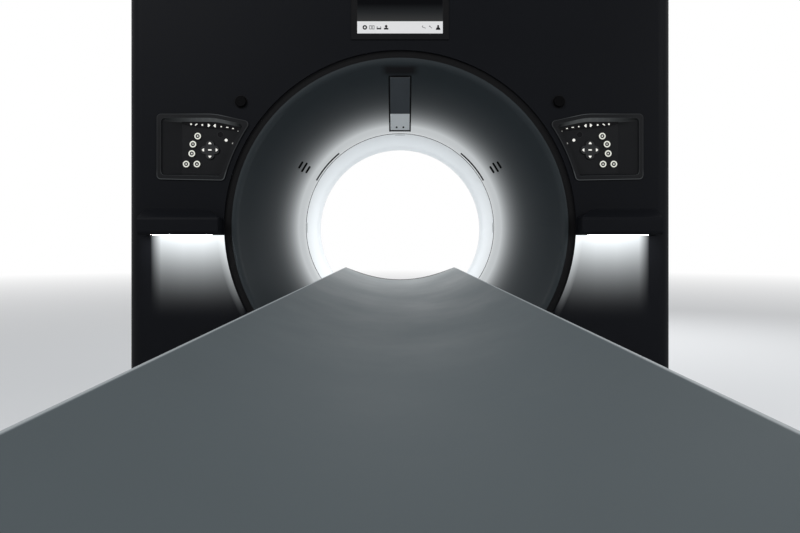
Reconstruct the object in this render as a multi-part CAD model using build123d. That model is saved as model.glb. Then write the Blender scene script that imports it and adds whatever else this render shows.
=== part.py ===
import os
from math import asin, atan2, cos, degrees, hypot, radians, sin, sqrt, tan

from build123d import *

# CT scanner: a ring gantry with a bell-mouthed bore, and a lifting table whose cradle
# slides into the bore. Millimetres. The origin is on the floor under the middle of the
# bore, +Y runs from the table into the gantry, +X is to the right, +Z is up.

# Bore
axis_height = 1070
bore_radius = 400
tunnel_length = 500
liner_wall = 5

# Bell-mouthed flares, front and rear
flare_radius = 652
flare_wall = 5
lip_radius = 70
lip_land = 2.5
rim_radius = 30
rim_run = 18
rim_return = 34

# Dark band around the front flare
band_width = 30
band_depth = 10
band_thickness = 8

# Gantry casing
gantry_width = 2120
gantry_depth = 1000
top_over_axis = 990
cover_bottom = 60
cover_wall = 6
edge_radius = 60
seam_offset = 330
top_seam_drop = 170
seam_gap = 3
joint_wall = 4
joint_reach = 15

# Cooling air slots: inlets low in the rear cover, outlets in the top cover
inlet_size = (190, 14)
inlet_pitch = (260, 36)
inlet_count = (5, 4)
inlet_height = 245
outlet_size = (170, 16)
outlet_pitch = (230, 40)
outlet_count = (6, 4)

# Display over the bore, its height above the bore axis
display_width = 380
display_over_axis = 720
display_height = 206
display_bezel = 23
display_proud = 4
display_chamfer = 2
housing_depth = 45
screen_thickness = 12
screen_recess = 3

# Control panels beside the bore, measured from the bore axis
panel_outer = 940
panel_top = 434
panel_bottom = 181
panel_bend_x = 716
panel_bend_radius = 260
panel_arc_gap = 21
panel_top_angle = 35.0
panel_bottom_angle = 14.5
panel_corner = 16
panel_flange = 8
panel_rim = 14
panel_wall = 4
panel_lip = 2
panel_lean = 10
panel_recess = 26
panel_floor = 4
panel_chamfer = 3
panel_ramp_run = 70
panel_ramp_depth = 2

# Ring keys, jog pad and stop buttons, placed from the bore axis
key_1_place = (789.5, 351.5)
key_2_place = (808, 320)
key_3_place = (812.5, 283.5)
key_4_place = (834.5, 242.5)
key_5_place = (792.5, 242.5)
key_diameter = 26
key_travel = 2
key_land = 4
key_tail = 10
key_chamfer = 1
key_clearance = 0.5
jog_place = (742, 297.5)
jog_lobe_offset = 20
jog_lobe_radius = 17
jog_dish_radius = 9
jog_dish_depth = 1.5
stop_place = (615, 481)
stop_diameter = 42
stop_travel = 6
stop_land = 6
stop_tail = 24
stop_chamfer = 2

# Ledges with lamps under them
ledge_width = 304
ledge_edge_gap = 70
ledge_under_axis = 35
ledge_height = 99
ledge_reach = 72
ledge_nose = 16
ledge_slope = 33
ledge_slant = 64
lamp_inner_margin = 30
lamp_outer_margin = 47
lamp_depth = 44
lamp_margin = 14
lamp_thickness = 6

# Positioning camera on the flare at twelve o'clock
camera_width = 80
camera_rim_gap = 63
camera_bore_gap = 4
camera_proud = 5
camera_sink = 22
camera_seat_gap = 0.3
camera_gap = 5
camera_corner = 8
camera_chamfer = 1.5

# Speaker slots in the flare
speaker_angle = 31.6
speaker_bore_gap = 64
speaker_pitch = 15.5
speaker_lengths = (30, 42, 30)
speaker_width = 5

# Black windows of the positioning lasers, at the front of the tunnel
window_start_angle = 29.3
window_sweep_angle = 21.3
window_front = 31
window_width = 11
window_proud = 0.6
window_depth = 3
port_angles = (0, 90, 180)
port_length = 44
port_width = 12
port_place = 212

# Gantry frame
foot_height = 40
foot_radius = 45
foot_stem_radius = 16
foot_plate = 12
beam_height = 120
beam_width = 100
beam_setback = 70
stator_front = 150
stator_thickness = 60
stator_rim = 20
leg_top_inner = 300
leg_top_outer = 600
leg_foot_inner = 430
leg_foot_outer = 820
anchor_inset = 154
anchor_hole = 18
anchor_pad = (120, 90)

# Main bearing, drum and what turns with it
drum_bore_gap = 19
hub_wall = 22
bearing_gap = 0.5
bearing_depth = 54
drum_radius = 870
drum_front = 60
drum_thickness = 20
hub_reach = 5
ring_step = 6
ring_depth = 130
ring_thickness = 25
coil_step = 20
coil_depth = 80
coil_gap = 1
coil_sweep_angle = 46
coil_count = 4
tube_radius = 120
tube_gap = 67
tube_length = 200
collimator_width = 260
collimator_height = 70
focus_depth = 50
detector_bore_gap = 75
detector_thickness = 95
detector_half_angle = 25
detector_depth = 150
generator_size = (250, 170, 420)
generator_chamfer = 20
exchanger_size = (230, 160, 400)
exchanger_fins = 7
fin_depth = 40
unit_bore_gap = 28
unit_rim_gap = 54
brush_width = 90
brush_reach = 70
brush_gap = 0.4
brush_clearance = 2
power_size = (300, 420, 260)
power_gap = 10
power_side_gap = 14

# Patient table
table_centre = -1650
base_length = 1300
base_width = 600
base_height = 40
base_corner = 60
base_chamfer = 10
shroud_length = 1100
shroud_width = 470
shroud_corner = 90
shroud_wall = 4
shroud_gap = 6
shroud_overlap = 60
shroud_web = 5
lift_down = 430
lift_up = 60
stage_clearance = 2
column_width = 150
column_wall = 6
column_gap = 0.5
column_offset = 330
support_front = -560
support_back = -2840
support_width = 560
support_height = 92
support_wall = 10
support_corner = 34
back_wall_gap = 10
anchor_table_x = 500
anchor_table_y = 1200

# Cradle
cradle_head = -520
cradle_foot = -2900
cradle_width = 420
cradle_under_axis = 152.5
cradle_dish = 52.5
cradle_depth = 79.5
cradle_sink = 34
cradle_edge_thickness = 18
cradle_flat = 110
cradle_corner = 6
head_corner = 95
foot_corner = 40

# Rollers under the cradle
roller_radius = 18
roller_half = 140
roller_gap = 0.4
journal_radius = 8
journal_reach = 20
journal_clearance = 0.3
roller_places = (-640, -1500)
block_width = 16
block_length = 44
block_cover = 14

# Release handle on the foot end of the cradle
handle_width = 150
handle_thickness = 10
handle_drop = 30
handle_pin_radius = 5
handle_pin_reach = 16
handle_pin_drop = 35.5
handle_lug = 14
handle_lug_gap = 1
handle_lug_half = 9
handle_lug_root = 12
handle_lug_drop = 32
handle_corner = 12

# Foot pedal
pedal_width = 190
pedal_length = 130
pedal_thickness = 10
pedal_pin_radius = 8
pedal_pin_height = 62
pedal_pin_setback = 38
pedal_ear = 14
pedal_ear_gap = 1
pedal_ear_half = 18
pedal_corner = 20

# Floor link between table and gantry
link_width = 320
link_height = 40
link_chamfer = 12
link_overlap = 40

front_y = -gantry_depth / 2
back_y = gantry_depth / 2
gantry_top = axis_height + top_over_axis
top_seam_height = gantry_top - top_seam_drop
display_bottom = axis_height + display_over_axis
tunnel_half = tunnel_length / 2
liner_outer = bore_radius + liner_wall
band_outer = flare_radius + band_width
panel_arc_radius = band_outer + panel_arc_gap
panel_bend = (panel_bend_x, panel_top)
panel_floor_y = front_y + panel_recess
key_places = (key_1_place, key_2_place, key_3_place, key_4_place, key_5_place)
key_radius = key_diameter / 2
stop_radius = stop_diameter / 2
ledge_outer = gantry_width / 2 - ledge_edge_gap
ledge_inner = ledge_outer - ledge_width
ledge_bottom = axis_height - ledge_under_axis
camera_top_radius = flare_radius - camera_rim_gap
camera_bottom_radius = bore_radius + camera_bore_gap
speaker_radius = bore_radius + speaker_bore_gap
base_top = foot_height + beam_height
inner_half_width = gantry_width / 2 - cover_wall
beam_middle = inner_half_width - beam_width / 2
beam_end = gantry_depth / 2 - beam_setback
anchor_x = inner_half_width - anchor_inset
anchor_y = beam_end - beam_width / 2
drum_bore = liner_outer + drum_bore_gap
bearing_bore = drum_bore + hub_wall
bearing_outer = bearing_bore + bearing_depth
ring_inner = drum_bore + ring_step
ring_outer = ring_inner + ring_depth
coil_inner = bearing_outer + coil_step
coil_outer = coil_inner + coil_depth
stator_radius = coil_outer + stator_rim
unit_inner = liner_outer + unit_bore_gap
tube_centre = unit_inner + collimator_height + tube_gap + tube_radius
focus_radius = tube_centre - tube_radius + focus_depth
detector_reach = focus_radius + liner_outer + detector_bore_gap
shroud_height = (lift_down + lift_up) / 2 + shroud_overlap
cradle_edge = axis_height - cradle_under_axis
cradle_trough = cradle_edge - cradle_dish
cradle_bottom = cradle_edge - cradle_depth
support_top = cradle_bottom + cradle_sink
support_bottom = support_top - support_height
back_wall_top = cradle_bottom - back_wall_gap
handle_pin_y = cradle_foot - handle_pin_reach
handle_pin_z = cradle_edge - handle_pin_drop


def block(x_range, y_range, z_range):
    """A plain box between two limits along each axis."""
    corners = list(zip(x_range, y_range, z_range))
    size = [high - low for low, high in zip(*corners)]
    middle = [(high + low) / 2 for low, high in zip(*corners)]
    return Pos(*middle) * Box(*size)


def turned(outline, sweep=360):
    """An outline of (radius, y) turned about the bore axis, downwards from +X."""
    return Pos(0, 0, axis_height) * revolve(make_face(outline), axis=Axis.Y, revolution_arc=sweep)


def ring(inner, outer, y_range, sweep=360):
    """A ring about the bore axis."""
    start, end = y_range
    corners = [(inner, start), (outer, start), (outer, end), (inner, end)]
    return turned(Polyline(*corners, close=True), sweep)


def around(shape, angle):
    """A shape turned about the bore axis, anticlockwise as the table sees it."""
    return shape.rotate(Axis((0, 0, axis_height), (0, -1, 0)), angle)


def facing(sketch, y_range):
    """A sketch drawn in x and height, extruded between two depths."""
    start, end = y_range
    return extrude(Plane.XZ.offset(-end) * sketch, amount=end - start)


def at_axis(sketch):
    """A sketch drawn about the bore axis, raised to its height."""
    return Pos(0, axis_height) * sketch


def repeated(places, sketch):
    """One sketch with a copy of an outline at each place."""
    return Sketch() + [place * sketch for place in places]


def mirrored(shape):
    """The same piece on the other side of the bore."""
    return mirror(shape, about=Plane.YZ)


def export(name, shape):
    """Write one piece, or one group of like pieces, under its own name."""
    export_step(shape, f"parts/{name}.step")


def flare_slope():
    """Angle of the flare's straight part from the bore axis, as it leaves the lip's arc."""
    rise = flare_radius - rim_run - bore_radius - lip_radius
    run = gantry_depth / 2 - tunnel_half - lip_land
    return atan2(rise, run) + asin(lip_radius / hypot(rise, run))


def lip_run():
    """Distance from the tunnel's end to the corner that the lip's arc rounds."""
    return lip_land + lip_radius * tan(flare_slope() / 2)


def flare_points():
    """Corners of the visible flare line as (radius, distance from the middle)."""
    return [
        (bore_radius, tunnel_half),
        (bore_radius, tunnel_half + lip_run()),
        (flare_radius - rim_run, gantry_depth / 2),
        (flare_radius, gantry_depth / 2),
    ]


def flare_solid(back_reach):
    """Bell-mouthed shell, drawn on the +Y side."""
    lip_end, lip_corner, rim_corner, rim_end = flare_points()
    face_line = FilletPolyline(lip_end, lip_corner, rim_corner, rim_end, radius=[lip_radius, rim_radius])
    slope = flare_slope()

    def behind(corner, along):
        radius = corner[0] + flare_wall * cos(slope) + along * sin(slope)
        return (radius, corner[1] - flare_wall * sin(slope) + along * cos(slope))

    return_radius = flare_radius - flare_wall
    return_end = gantry_depth / 2 - back_reach
    back_line = Polyline(
        rim_end,
        (flare_radius, return_end),
        (return_radius, return_end),
        (return_radius, gantry_depth / 2 - flare_wall - rim_run / 2),
        behind(rim_corner, -rim_run / 2),
        behind(lip_corner, lip_run() / 2),
        (bore_radius + flare_wall, tunnel_half),
        lip_end,
    )
    return turned([face_line, back_line])


def flare_face_radius(distance):
    """Radius of the flare face near the lip, at a distance from the middle."""
    depth = distance - tunnel_half - lip_land
    if depth <= 0:
        return bore_radius
    return bore_radius + lip_radius - (lip_radius**2 - depth**2) ** 0.5


def casing(inset, drop=0):
    """Whole casing volume, shrunk by an inset and reaching lower by a drop."""
    top = gantry_top - inset
    bottom = cover_bottom - drop
    half_x = gantry_width / 2 - inset
    half_y = gantry_depth / 2 - inset
    body = block((-half_x, half_x), (-half_y, half_y), (bottom, top))
    upright = body.edges().filter_by(Axis.Z)
    rim = body.faces().sort_by(Axis.Z)[-1].edges()
    return fillet(upright + rim, radius=edge_radius - inset)


def casing_wall():
    """The casing as one moulded skin, open below."""
    return casing(0) - casing(cover_wall, drop=cover_wall)


def joint_wall_shell():
    """Skin just inside the casing, from which the seam joints are cut."""
    return casing(cover_wall) - casing(cover_wall + joint_wall, drop=cover_wall)


def everywhere(y_range, z_range, x_range=(-gantry_width, gantry_width)):
    """A cutting box that takes in the whole width of the casing."""
    return block(x_range, y_range, z_range)


def end_cover(side):
    """Front (-1) or rear (+1) cover before its openings are cut."""
    near = seam_offset + seam_gap / 2
    limits = sorted((side * near, side * gantry_depth))
    return casing_wall() & everywhere(limits, (0, gantry_top))


def panel_outline(inset):
    """Outline of the right-hand control panel about the bore axis, shrunk by an inset."""
    def on_arc(angle):
        turn = radians(angle)
        return (panel_arc_radius * cos(turn), panel_arc_radius * sin(turn))

    inner_top = on_arc(panel_top_angle)
    inner_middle = on_arc((panel_top_angle + panel_bottom_angle) / 2)
    inner_bottom = on_arc(panel_bottom_angle)
    face = make_face([
        Polyline(inner_bottom, (panel_outer, panel_bottom), (panel_outer, panel_top), panel_bend, inner_top),
        ThreePointArc(inner_top, inner_middle, inner_bottom),
    ])
    if inset:
        face = offset(face, amount=-inset, kind=Kind.INTERSECTION)
    corners = face.vertices()
    bend = corners.sort_by(lambda corner: hypot(corner.X - panel_bend[0], corner.Y - panel_bend[1]))[0]
    others = [corner for corner in corners if corner != bend]
    face = fillet(others, radius=max(panel_corner - inset, panel_wall))
    bend = face.vertices().sort_by(lambda corner: hypot(corner.X - bend.X, corner.Y - bend.Y))[0]
    return fillet(bend, radius=panel_bend_radius)


def front_cover():
    """Front skin with the bore opening and every cut-out for what sits in it."""
    cover = end_cover(-1)
    lip_outer = band_outer + cover_wall
    cover -= facing(at_axis(Circle(lip_outer)), (front_y - 1, front_y + rim_return))
    cover += ring(band_outer, lip_outer, (front_y, front_y + rim_return))
    panel_cut = facing(at_axis(panel_outline(panel_rim)), (front_y - 1, front_y + cover_wall + 1))
    stop_hole = at_axis(Pos(*stop_place) * Circle(stop_radius + key_clearance))
    stop_cut = facing(stop_hole, (front_y - 1, front_y + cover_wall + 1))
    for cut in (panel_cut, stop_cut):
        cover = cover - cut - mirrored(cut)
    return cover - display_block(display_bezel / 2, (front_y - 1, front_y + cover_wall + 1))


def display_block(inset, y_range):
    """Box behind the display's outline, shrunk by an inset."""
    half = display_width / 2 - inset
    bottom = display_bottom + inset
    return block((-half, half), y_range, (bottom, display_bottom + display_height - inset))


def rear_cover():
    """Rear skin with its round opening and a field of cooling slots."""
    cover = end_cover(1)
    cover -= facing(at_axis(Circle(flare_radius)), (back_y - cover_wall - 1, back_y + 1))
    slots = repeated(GridLocations(*inlet_pitch, *inlet_count), Rectangle(*inlet_size))
    slots = Pos(0, inlet_height) * slots
    return cover - facing(slots, (back_y - cover_wall - 1, back_y + 1))


def side_cover():
    """Right-hand cover with joints that reach behind the end covers."""
    near = seam_offset - seam_gap / 2
    top = top_seam_height - seam_gap / 2
    cover = casing_wall() & block((0, gantry_width), (-near, near), (0, top))
    joints = joint_wall_shell()
    reach = seam_offset + joint_reach
    hold = seam_offset - 2 * joint_reach
    front = block((gantry_width / 4, gantry_width), (-reach, -hold), (base_top, top))
    back = block((gantry_width / 4, gantry_width), (hold, reach), (base_top, top))
    return cover + (joints & front) + (joints & back)


def top_cover():
    """Top cover with joints behind the end covers and the side covers."""
    near = seam_offset - seam_gap / 2
    low = top_seam_height + seam_gap / 2
    cover = casing_wall() & everywhere((-near, near), (low, gantry_top))
    joints = joint_wall_shell()
    reach = seam_offset + joint_reach
    hold = seam_offset - 2 * joint_reach
    front = everywhere((-reach, -hold), (low, gantry_top))
    back = everywhere((hold, reach), (low, gantry_top))
    sides = everywhere((-hold, hold), (top_seam_height - joint_reach, low + joint_reach))
    cover += [joints & front, joints & back, joints & sides]
    return cover - outlet_slots()


def outlet_slots():
    """Air outlet slots over the middle of the top cover."""
    slots = repeated(GridLocations(*outlet_pitch, *outlet_count), Rectangle(*outlet_size))
    height = cover_wall + 2
    return extrude(Pos(0, 0, gantry_top - cover_wall - 1) * slots, amount=height)


def camera_box(widening, depth_range):
    """Box along the flare's slope at twelve o'clock, between two depths below its face."""
    slope = flare_slope()
    start = flare_points()[1]
    middle_radius = (camera_top_radius + camera_bottom_radius) / 2
    middle_depth = start[1] + (middle_radius - start[0]) * cos(slope) / sin(slope)
    length = (camera_top_radius - camera_bottom_radius) / sin(slope)
    plane = Plane(
        origin=(0, -middle_depth, axis_height + middle_radius),
        x_dir=(1, 0, 0),
        z_dir=(0, -sin(slope), -cos(slope)),
    )
    outline = RectangleRounded(
        camera_width + 2 * widening,
        length + 2 * widening,
        camera_corner + widening,
    )
    low, high = depth_range
    return extrude(plane.offset(low) * outline, amount=high - low)


def camera_module():
    """Positioning camera housing, held by a flange behind the flare."""
    housing = camera_box(0, (-camera_sink, camera_proud))
    flange = camera_box(3 * camera_gap, (-camera_sink, -flare_wall - camera_seat_gap))
    above_lip = axis_height + camera_bottom_radius + lip_run()
    flange &= everywhere((front_y, 0), (above_lip, gantry_top))
    top_face = housing.faces().sort_by(Axis((0, 0, 0), (0, -1, -1)))[-1]
    housing = chamfer(top_face.edges(), length=camera_chamfer)
    return housing + flange


def speaker_slots():
    """Tangential slots through the flare on the right-hand side."""
    slots = []
    for step, length in zip((-1, 0, 1), speaker_lengths):
        radius = speaker_radius + step * speaker_pitch
        outline = Pos(radius, 0) * SlotOverall(length, speaker_width, rotation=90)
        cutter = facing(at_axis(outline), (front_y, -tunnel_half))
        slots.append(around(cutter, speaker_angle))
    return slots


def laser_arc():
    """Black window on the lip of the flare, on the right-hand side."""
    start = tunnel_half + window_front - window_width
    end = tunnel_half + window_front
    low = flare_face_radius(start) - window_proud
    high = flare_face_radius(end) - window_proud
    corners = [(low, -start), (high, -end), (high + window_depth, -end), (low + window_depth, -start)]
    arc = turned(Polyline(*corners, close=True), window_sweep_angle)
    return around(arc, window_start_angle + window_sweep_angle)


def laser_ports():
    """Small windows in the tunnel wall at three, twelve and nine o'clock."""
    port = block(
        (bore_radius - window_proud, bore_radius + liner_wall),
        (-port_place - port_width / 2, -port_place + port_width / 2),
        (axis_height - port_length / 2, axis_height + port_length / 2),
    )
    return [around(port, angle) for angle in port_angles]


def laser_windows():
    """Arc windows on the lip and ports in the tunnel, one group of windows."""
    arc = laser_arc()
    return Compound([arc, mirrored(arc), *laser_ports()])


def front_flare():
    """Front flare with its camera opening, speaker slots and window seats."""
    flare = mirror(flare_solid(rim_return), about=Plane.XZ)
    opening = camera_box(camera_gap, (-3 * camera_sink, camera_sink))
    slots = speaker_slots()
    arc = laser_arc()
    return flare - [opening, arc, mirrored(arc), *slots, *[mirrored(slot) for slot in slots]]


def bore_liner():
    """Tunnel liner with seats for the laser ports."""
    liner = ring(bore_radius, bore_radius + liner_wall, (-tunnel_half, tunnel_half))
    return liner - laser_ports()


def display_housing():
    """Bezel and box that hold the display."""
    bezel = display_block(0, (front_y - display_proud, front_y))
    body = display_block(display_bezel / 2, (front_y - display_proud, front_y + housing_depth))
    pocket = display_block(display_bezel, (front_y - 2 * display_proud, front_y + screen_thickness))
    bezel = chamfer(front_edges(bezel), length=display_chamfer)
    return (bezel + body) - pocket


def display_screen():
    """Glass front of the display."""
    front = front_y - display_proud + screen_recess
    return display_block(display_bezel, (front, front_y + screen_thickness))


def panel_well():
    """Space inside the panel, whose walls lean in from the rim to the floor."""
    floor_outline = at_axis(panel_outline(panel_rim + panel_lip + panel_lean))
    depth = panel_recess + panel_flange
    return extrude(
        Plane.XZ.offset(-panel_floor_y) * floor_outline,
        amount=depth + panel_flange,
        taper=-degrees(atan2(panel_lean, depth)),
    )


def panel_ramp(shift):
    """Space behind the slanted outer part of the panel's floor, moved back by a shift."""
    head_x = panel_outer - panel_rim - panel_wall
    foot_x = head_x - panel_ramp_run
    foot_y = panel_floor_y + shift
    rise = (panel_floor_y - front_y - panel_ramp_depth) / panel_ramp_run
    behind = panel_floor_y + panel_floor + 1
    outline = make_face(Polyline(
        (foot_x, foot_y),
        (panel_outer, foot_y - rise * (panel_outer - foot_x)),
        (panel_outer, behind),
        (foot_x, behind),
        close=True,
    ))
    return extrude(Pos(0, 0, axis_height + panel_bottom) * outline, amount=panel_top - panel_bottom)


def control_panel():
    """Right-hand panel tray with a raised rim, a sunk floor and holes for its keys."""
    rim = facing(at_axis(panel_outline(0)), (front_y - panel_flange, front_y))
    rim = chamfer(front_edges(rim), length=panel_chamfer)
    back = panel_floor_y + panel_floor
    tray = facing(at_axis(panel_outline(panel_rim)), (front_y - 1, back))
    pocket = panel_well() - panel_ramp(0)
    hole = Circle(key_radius + key_clearance)
    holes = repeated([Pos(*place) for place in key_places], hole)
    holes += Pos(*jog_place) * jog_outline(key_clearance)
    tray -= panel_ramp(panel_floor)
    return (rim + tray) - pocket - facing(at_axis(holes), (panel_floor_y - 1, back + 1))


def front_edges(shape):
    """The edges round the face that points at the table."""
    return shape.faces().sort_by(Axis.Y)[0].edges()


def ring_key(place):
    """One round key in the panel floor."""
    y_range = (panel_floor_y - key_travel - key_land, panel_floor_y + key_tail)
    key = facing(at_axis(Pos(*place) * Circle(key_radius)), y_range)
    return chamfer(front_edges(key), length=key_chamfer)


def jog_outline(widening):
    """Cloverleaf of four lobes, widened by a clearance."""
    lobes = repeated(PolarLocations(jog_lobe_offset, 4), Circle(jog_lobe_radius + widening))
    half = jog_lobe_offset + widening
    return lobes + Rectangle(2 * half, 2 * half, rotation=45)


def jog_pad():
    """Four-way pad with a dished middle."""
    face_y = panel_floor_y - key_travel - key_land
    pad = facing(at_axis(Pos(*jog_place) * jog_outline(0)), (face_y, panel_floor_y + key_tail))
    pad = chamfer(front_edges(pad), length=key_chamfer)
    dish = at_axis(Pos(*jog_place) * Circle(jog_dish_radius))
    return pad - facing(dish, (face_y - 1, face_y + jog_dish_depth))


def stop_button():
    """Round stop button in its hole in the front cover."""
    y_range = (front_y - stop_travel - stop_land, front_y + stop_tail)
    button = facing(at_axis(Pos(*stop_place) * Circle(stop_radius)), y_range)
    return chamfer(front_edges(button), length=stop_chamfer)


def ledge():
    """Right-hand ledge with a sloped top, a slanted inner end and a lamp pocket below."""
    bottom = ledge_bottom
    top = ledge_bottom + ledge_height
    nose_y = front_y - ledge_reach
    profile = Polyline(
        (front_y, bottom),
        (nose_y, bottom),
        (nose_y, top - ledge_slope),
        (front_y, top),
        close=True,
    )
    face = make_face(profile)
    noses = [corner for corner in face.vertices() if corner.X < front_y - 1]
    face = fillet(noses, radius=ledge_nose)
    body = extrude(Plane.YZ.offset(ledge_inner) * face, amount=ledge_width)
    shoulder = top - ledge_slope
    front = Polyline(
        (ledge_inner, bottom),
        (ledge_inner, shoulder),
        (ledge_inner + ledge_slant, top),
        (ledge_outer, top),
        (ledge_outer, bottom),
        close=True,
    )
    body &= facing(make_face(front), (nose_y, front_y))
    return body - lamp()


def lamp():
    """Diffuser of the lamp under the right-hand ledge."""
    far = front_y - lamp_margin - lamp_depth
    return block(
        (ledge_inner + lamp_inner_margin, ledge_outer - lamp_outer_margin),
        (far, front_y - lamp_margin),
        (ledge_bottom, ledge_bottom + lamp_thickness),
    )


def trim_band():
    """Dark recessed band between the flare and the front cover."""
    start = front_y + band_depth
    return ring(flare_radius, band_outer, (start, start + band_thickness))


def base_frame():
    """Welded floor frame of two long and three cross beams, with anchor holes."""
    levels = (foot_height, base_top)
    x_near = inner_half_width - beam_width
    frame = block((x_near, inner_half_width), (-beam_end, beam_end), levels)
    frame += mirrored(frame)
    stator_middle = stator_front + stator_thickness / 2
    for middle in (-beam_end + beam_width / 2, stator_middle, beam_end - beam_width / 2):
        y_range = (middle - beam_width / 2, middle + beam_width / 2)
        frame += block((-x_near, x_near), y_range, levels)
    places = GridLocations(2 * anchor_x, 2 * anchor_y, 2, 2)
    frame += extrude(repeated(places, Rectangle(*anchor_pad)), amount=foot_height)
    holes = repeated(places, Circle(anchor_hole / 2))
    return frame - extrude(holes, amount=base_top)


def levelling_feet():
    """Six threaded feet under the floor frame."""
    feet = []
    for x in (-beam_middle, beam_middle):
        for y in (-beam_end + 2 * beam_width, 0, beam_end - 2 * beam_width):
            plate = Pos(x, y, foot_plate / 2) * Cylinder(foot_radius, foot_plate)
            stem_height = foot_height - foot_plate
            stem = Pos(x, y, foot_plate + stem_height / 2) * Cylinder(foot_stem_radius, stem_height)
            feet.append(plate + stem)
    return Compound(feet)


def stator_frame():
    """Upright casting that carries the main bearing on two splayed legs."""
    leg = Polyline(
        (leg_top_inner, axis_height - bearing_outer / 2),
        (leg_top_outer, axis_height),
        (leg_foot_outer, base_top),
        (leg_foot_inner, base_top),
        close=True,
    )
    face = at_axis(Circle(stator_radius)) + make_face(leg)
    face += mirror(make_face(leg), about=Plane.YZ)
    face -= at_axis(Circle(bearing_outer))
    return facing(face, (stator_front, stator_front + stator_thickness))


def main_bearing():
    """Outer race of the main bearing, pressed into the upright."""
    return ring(bearing_bore, bearing_outer, (stator_front, stator_front + stator_thickness))


def drive_coils():
    """Arc-shaped coils of the direct drive, on the face of the upright."""
    start = drum_front + drum_thickness + coil_gap
    coil = ring(coil_inner, coil_outer, (start, stator_front), coil_sweep_angle)
    return Compound([around(coil, step * 360 / coil_count) for step in range(coil_count)])


def rotor_drum():
    """Drum disc and hub, turned as one casting."""
    hub_outer = bearing_bore - bearing_gap
    hub_end = stator_front + stator_thickness + hub_reach
    disc_back = drum_front + drum_thickness
    corners = [
        (drum_bore, drum_front),
        (drum_radius, drum_front),
        (drum_radius, disc_back),
        (hub_outer, disc_back),
        (hub_outer, hub_end),
        (drum_bore, hub_end),
    ]
    return turned(Polyline(*corners, close=True))


def slip_ring():
    """Slip ring on the end of the hub."""
    start = stator_front + stator_thickness + hub_reach
    return ring(ring_inner, ring_outer, (start, start + ring_thickness))


def brush_block():
    """Brush holder that reaches from the upright round the edge of the slip ring."""
    ring_back = stator_front + stator_thickness + hub_reach + ring_thickness
    plate_back = stator_front + stator_thickness
    outer = ring_outer + brush_reach / 2
    end = ring_back + brush_gap + brush_reach / 2
    half = brush_width / 2
    levels = (axis_height - half, axis_height + half)
    post = block((ring_outer + brush_clearance, outer), (plate_back, end), levels)
    arm = block((ring_outer - brush_reach, outer), (ring_back + brush_gap, end), levels)
    return post + arm


def xray_tube():
    """X-ray tube housing at twelve o'clock of the drum."""
    centre = axis_height + tube_centre
    return facing(Pos(0, centre) * Circle(tube_radius), (drum_front - tube_length, drum_front))


def collimator():
    """Collimator box between the tube and the bore."""
    low = axis_height + unit_inner
    x_range = (-collimator_width / 2, collimator_width / 2)
    y_range = (drum_front - tube_length * 0.7, drum_front)
    return block(x_range, y_range, (low, low + collimator_height))


def detector_array():
    """Curved detector opposite the tube, centred on the focal spot."""
    focus = (0, axis_height + focus_radius)
    band = Pos(*focus) * (Circle(detector_reach + detector_thickness) - Circle(detector_reach))
    half = radians(detector_half_angle)
    far = 2 * detector_reach
    wedge = make_face(Polyline(
        focus,
        (focus[0] - far * sin(half), focus[1] - far * cos(half)),
        (focus[0] + far * sin(half), focus[1] - far * cos(half)),
        close=True,
    ))
    return facing(band & wedge, (drum_front - detector_depth, drum_front))


def hv_generator():
    """High-voltage generator on the right of the drum."""
    width, depth, height = generator_size
    x_near = drum_radius - width - unit_rim_gap
    box = block(
        (x_near, x_near + width),
        (drum_front - depth, drum_front),
        (axis_height - height / 2, axis_height + height / 2),
    )
    return chamfer(box.edges().filter_by(Axis.Y), length=generator_chamfer)


def heat_exchanger():
    """Finned heat exchanger on the left of the drum."""
    width, depth, height = exchanger_size
    x_far = -(drum_radius - width - unit_rim_gap)
    front = drum_front - depth
    box = block(
        (x_far - width, x_far),
        (front, drum_front),
        (axis_height - height / 2, axis_height + height / 2),
    )
    pitch = height / (2 * exchanger_fins + 1)
    for step in range(exchanger_fins):
        low = axis_height - height / 2 + (2 * step + 1) * pitch
        box -= block((x_far - width - 1, x_far + 1), (front - 1, front + fin_depth), (low, low + pitch))
    return box


def power_unit():
    """Power unit in the lower corner of the gantry, standing on the floor frame."""
    width, depth, height = power_size
    side = inner_half_width - power_side_gap
    return block(
        (side - width, side),
        (stator_front - power_gap - depth, stator_front - power_gap),
        (base_top, base_top + height),
    )


def rounded_tube(length, width, corner, wall, z_range):
    """Upright tube of rounded rectangular section about the table's centre."""
    outline = RectangleRounded(width, length, corner) - RectangleRounded(
        width - 2 * wall,
        length - 2 * wall,
        corner - wall,
    )
    low, high = z_range
    return extrude(Pos(0, table_centre, low) * outline, amount=high - low)


def stage_levels(stage):
    """Bottom and top of a lift stage at rest: 0 moves with the support, 2 stands still."""
    bottoms = (
        base_height + stage_clearance + lift_down,
        base_height + stage_clearance + lift_down / 2,
        base_height,
    )
    tops = (
        support_bottom,
        bottoms[1] + shroud_height,
        base_height + shroud_height - shroud_web - 2 * stage_clearance,
    )
    return bottoms[stage], tops[stage]


def column_places():
    """Centres of the two lift columns, one behind the other."""
    return [Pos(0, step * column_offset) for step in (-1, 1)]


def column_size(stage):
    """Outside width of a square lift column: the top stage is the innermost."""
    return column_width + 2 * stage * (column_wall + column_gap)


def shroud(stage):
    """One stage of the telescopic shroud: 0 outside and on top, 2 inside and below."""
    shrink = 2 * stage * (shroud_wall + shroud_gap)
    low, high = stage_levels(stage)
    return rounded_tube(
        shroud_length - shrink,
        shroud_width - shrink,
        shroud_corner - shrink / 2,
        shroud_wall,
        (low, high),
    )


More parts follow.
